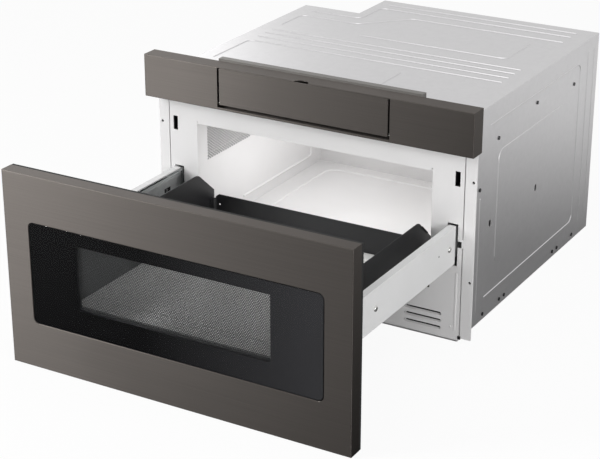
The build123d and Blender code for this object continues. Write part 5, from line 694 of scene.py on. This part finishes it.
def mirrored_painted_shadow(nodes, links):
    """Full brightness for the camera; in metal, a floor that grows lighter with its distance: a painted
    shadow round the object.
    """
    place = nodes.new("ShaderNodeTexCoord")
    distance = nodes.new("ShaderNodeVectorMath")
    distance.operation = "LENGTH"
    links.new(place.outputs["Object"], distance.inputs[0])
    falloff = nodes.new("ShaderNodeMapRange")
    falloff.interpolation_type = "SMOOTHSTEP"
    falloff.inputs["From Min"].default_value = PAINTED_SHADOW_NEAR[0]
    falloff.inputs["From Max"].default_value = PAINTED_SHADOW_FAR[0]
    falloff.inputs["To Min"].default_value = PAINTED_SHADOW_NEAR[1]
    falloff.inputs["To Max"].default_value = PAINTED_SHADOW_FAR[1]
    links.new(distance.outputs["Value"], falloff.inputs["Value"])
    path = nodes.new("ShaderNodeLightPath")
    pick = nodes.new("ShaderNodeMix")
    links.new(path.outputs["Is Glossy Ray"], pick.inputs["Factor"])
    pick.inputs["A"].default_value = 1.0
    links.new(falloff.outputs["Result"], pick.inputs["B"])
    return pick.outputs["Result"]


def make_floor():
    """A wide pale floor that shows as near white and keeps a soft shadow."""
    data = bmesh.new()
    bmesh.ops.create_grid(data, x_segments=2, y_segments=2, size=FLOOR_HALF_SIZE)
    mesh = bpy.data.meshes.new("floor")
    data.to_mesh(mesh)
    data.free()
    floor = bpy.data.objects.new("floor", mesh)
    bpy.context.scene.collection.objects.link(floor)
    floor.location = (0.0, 0.0, -FLOOR_DROP)
    material = bpy.data.materials.new("floor")
    material.use_nodes = True
    nodes = material.node_tree.nodes
    links = material.node_tree.links
    diffuse = nodes.new("ShaderNodeBsdfDiffuse")
    diffuse.inputs["Color"].default_value = (FLOOR_SHADE, FLOOR_SHADE, FLOOR_SHADE, 1.0)
    glow = nodes.new("ShaderNodeEmission")
    # in metal, the floor's glow carries a painted shadow round the object
    links.new(mirrored_painted_shadow(nodes, links), glow.inputs["Strength"])
    mix = nodes.new("ShaderNodeMixShader")
    links.new(light_path_factor(nodes, links, FLOOR_GLOW, FLOOR_MIRRORED), mix.inputs["Fac"])
    links.new(diffuse.outputs["BSDF"], mix.inputs[1])
    links.new(glow.outputs["Emission"], mix.inputs[2])
    links.new(mix.outputs["Shader"], nodes["Material Output"].inputs["Surface"])
    mesh.materials.append(material)


def make_world():
    """A white surround that shows as white and lights the object at a plain level."""
    world = bpy.data.worlds.new("surround")
    bpy.context.scene.world = world
    world.use_nodes = True
    nodes = world.node_tree.nodes
    links = world.node_tree.links
    background = nodes["Background"]
    background.inputs["Color"].default_value = (1.0, 1.0, 1.0, 1.0)
    strength = nodes.new("ShaderNodeMapRange")
    strength.inputs["To Min"].default_value = WORLD_LIGHT
    strength.inputs["To Max"].default_value = 1.0
    links.new(light_path_factor(nodes, links, 1.0, WORLD_MIRRORED), strength.inputs["Value"])
    links.new(strength.outputs["Result"], background.inputs["Strength"])


def add_softbox(name, place, aim, size, power):
    """A rectangular area lamp at a place, turned to a point."""
    data = bpy.data.lights.new(name, "AREA")
    data.shape = "RECTANGLE"
    data.size = size[0]
    data.size_y = size[1]
    data.energy = power
    lamp = bpy.data.objects.new(name, data)
    bpy.context.scene.collection.objects.link(lamp)
    lamp.location = place
    lamp.rotation_euler = (Vector(aim) - Vector(place)).to_track_quat("-Z", "Y").to_euler()
    lamp.visible_camera = False
    lamp.visible_glossy = name not in HIDDEN_FROM_METAL


def make_camera():
    """The photograph's camera."""
    data = bpy.data.cameras.new("camera")
    data.lens = CAMERA_LENS
    data.sensor_width = SENSOR_WIDTH
    data.dof.use_dof = False
    data.clip_start = CLIP_NEAR
    data.clip_end = CLIP_FAR
    camera = bpy.data.objects.new("camera", data)
    bpy.context.scene.collection.objects.link(camera)
    camera.location = CAMERA_PLACE
    forward = Vector(
        (
            -math.sin(CAMERA_AZIMUTH) * math.cos(CAMERA_ELEVATION),
            math.cos(CAMERA_AZIMUTH) * math.cos(CAMERA_ELEVATION),
            -math.sin(CAMERA_ELEVATION),
        )
    )
    camera.rotation_euler = forward.to_track_quat("-Z", "Y").to_euler()
    bpy.context.scene.camera = camera


make_floor()
make_world()
for lamp_name, settings in SOFTBOXES.items():
    add_softbox(lamp_name, *settings)
make_camera()
bpy.context.scene.view_settings.view_transform = "Standard"
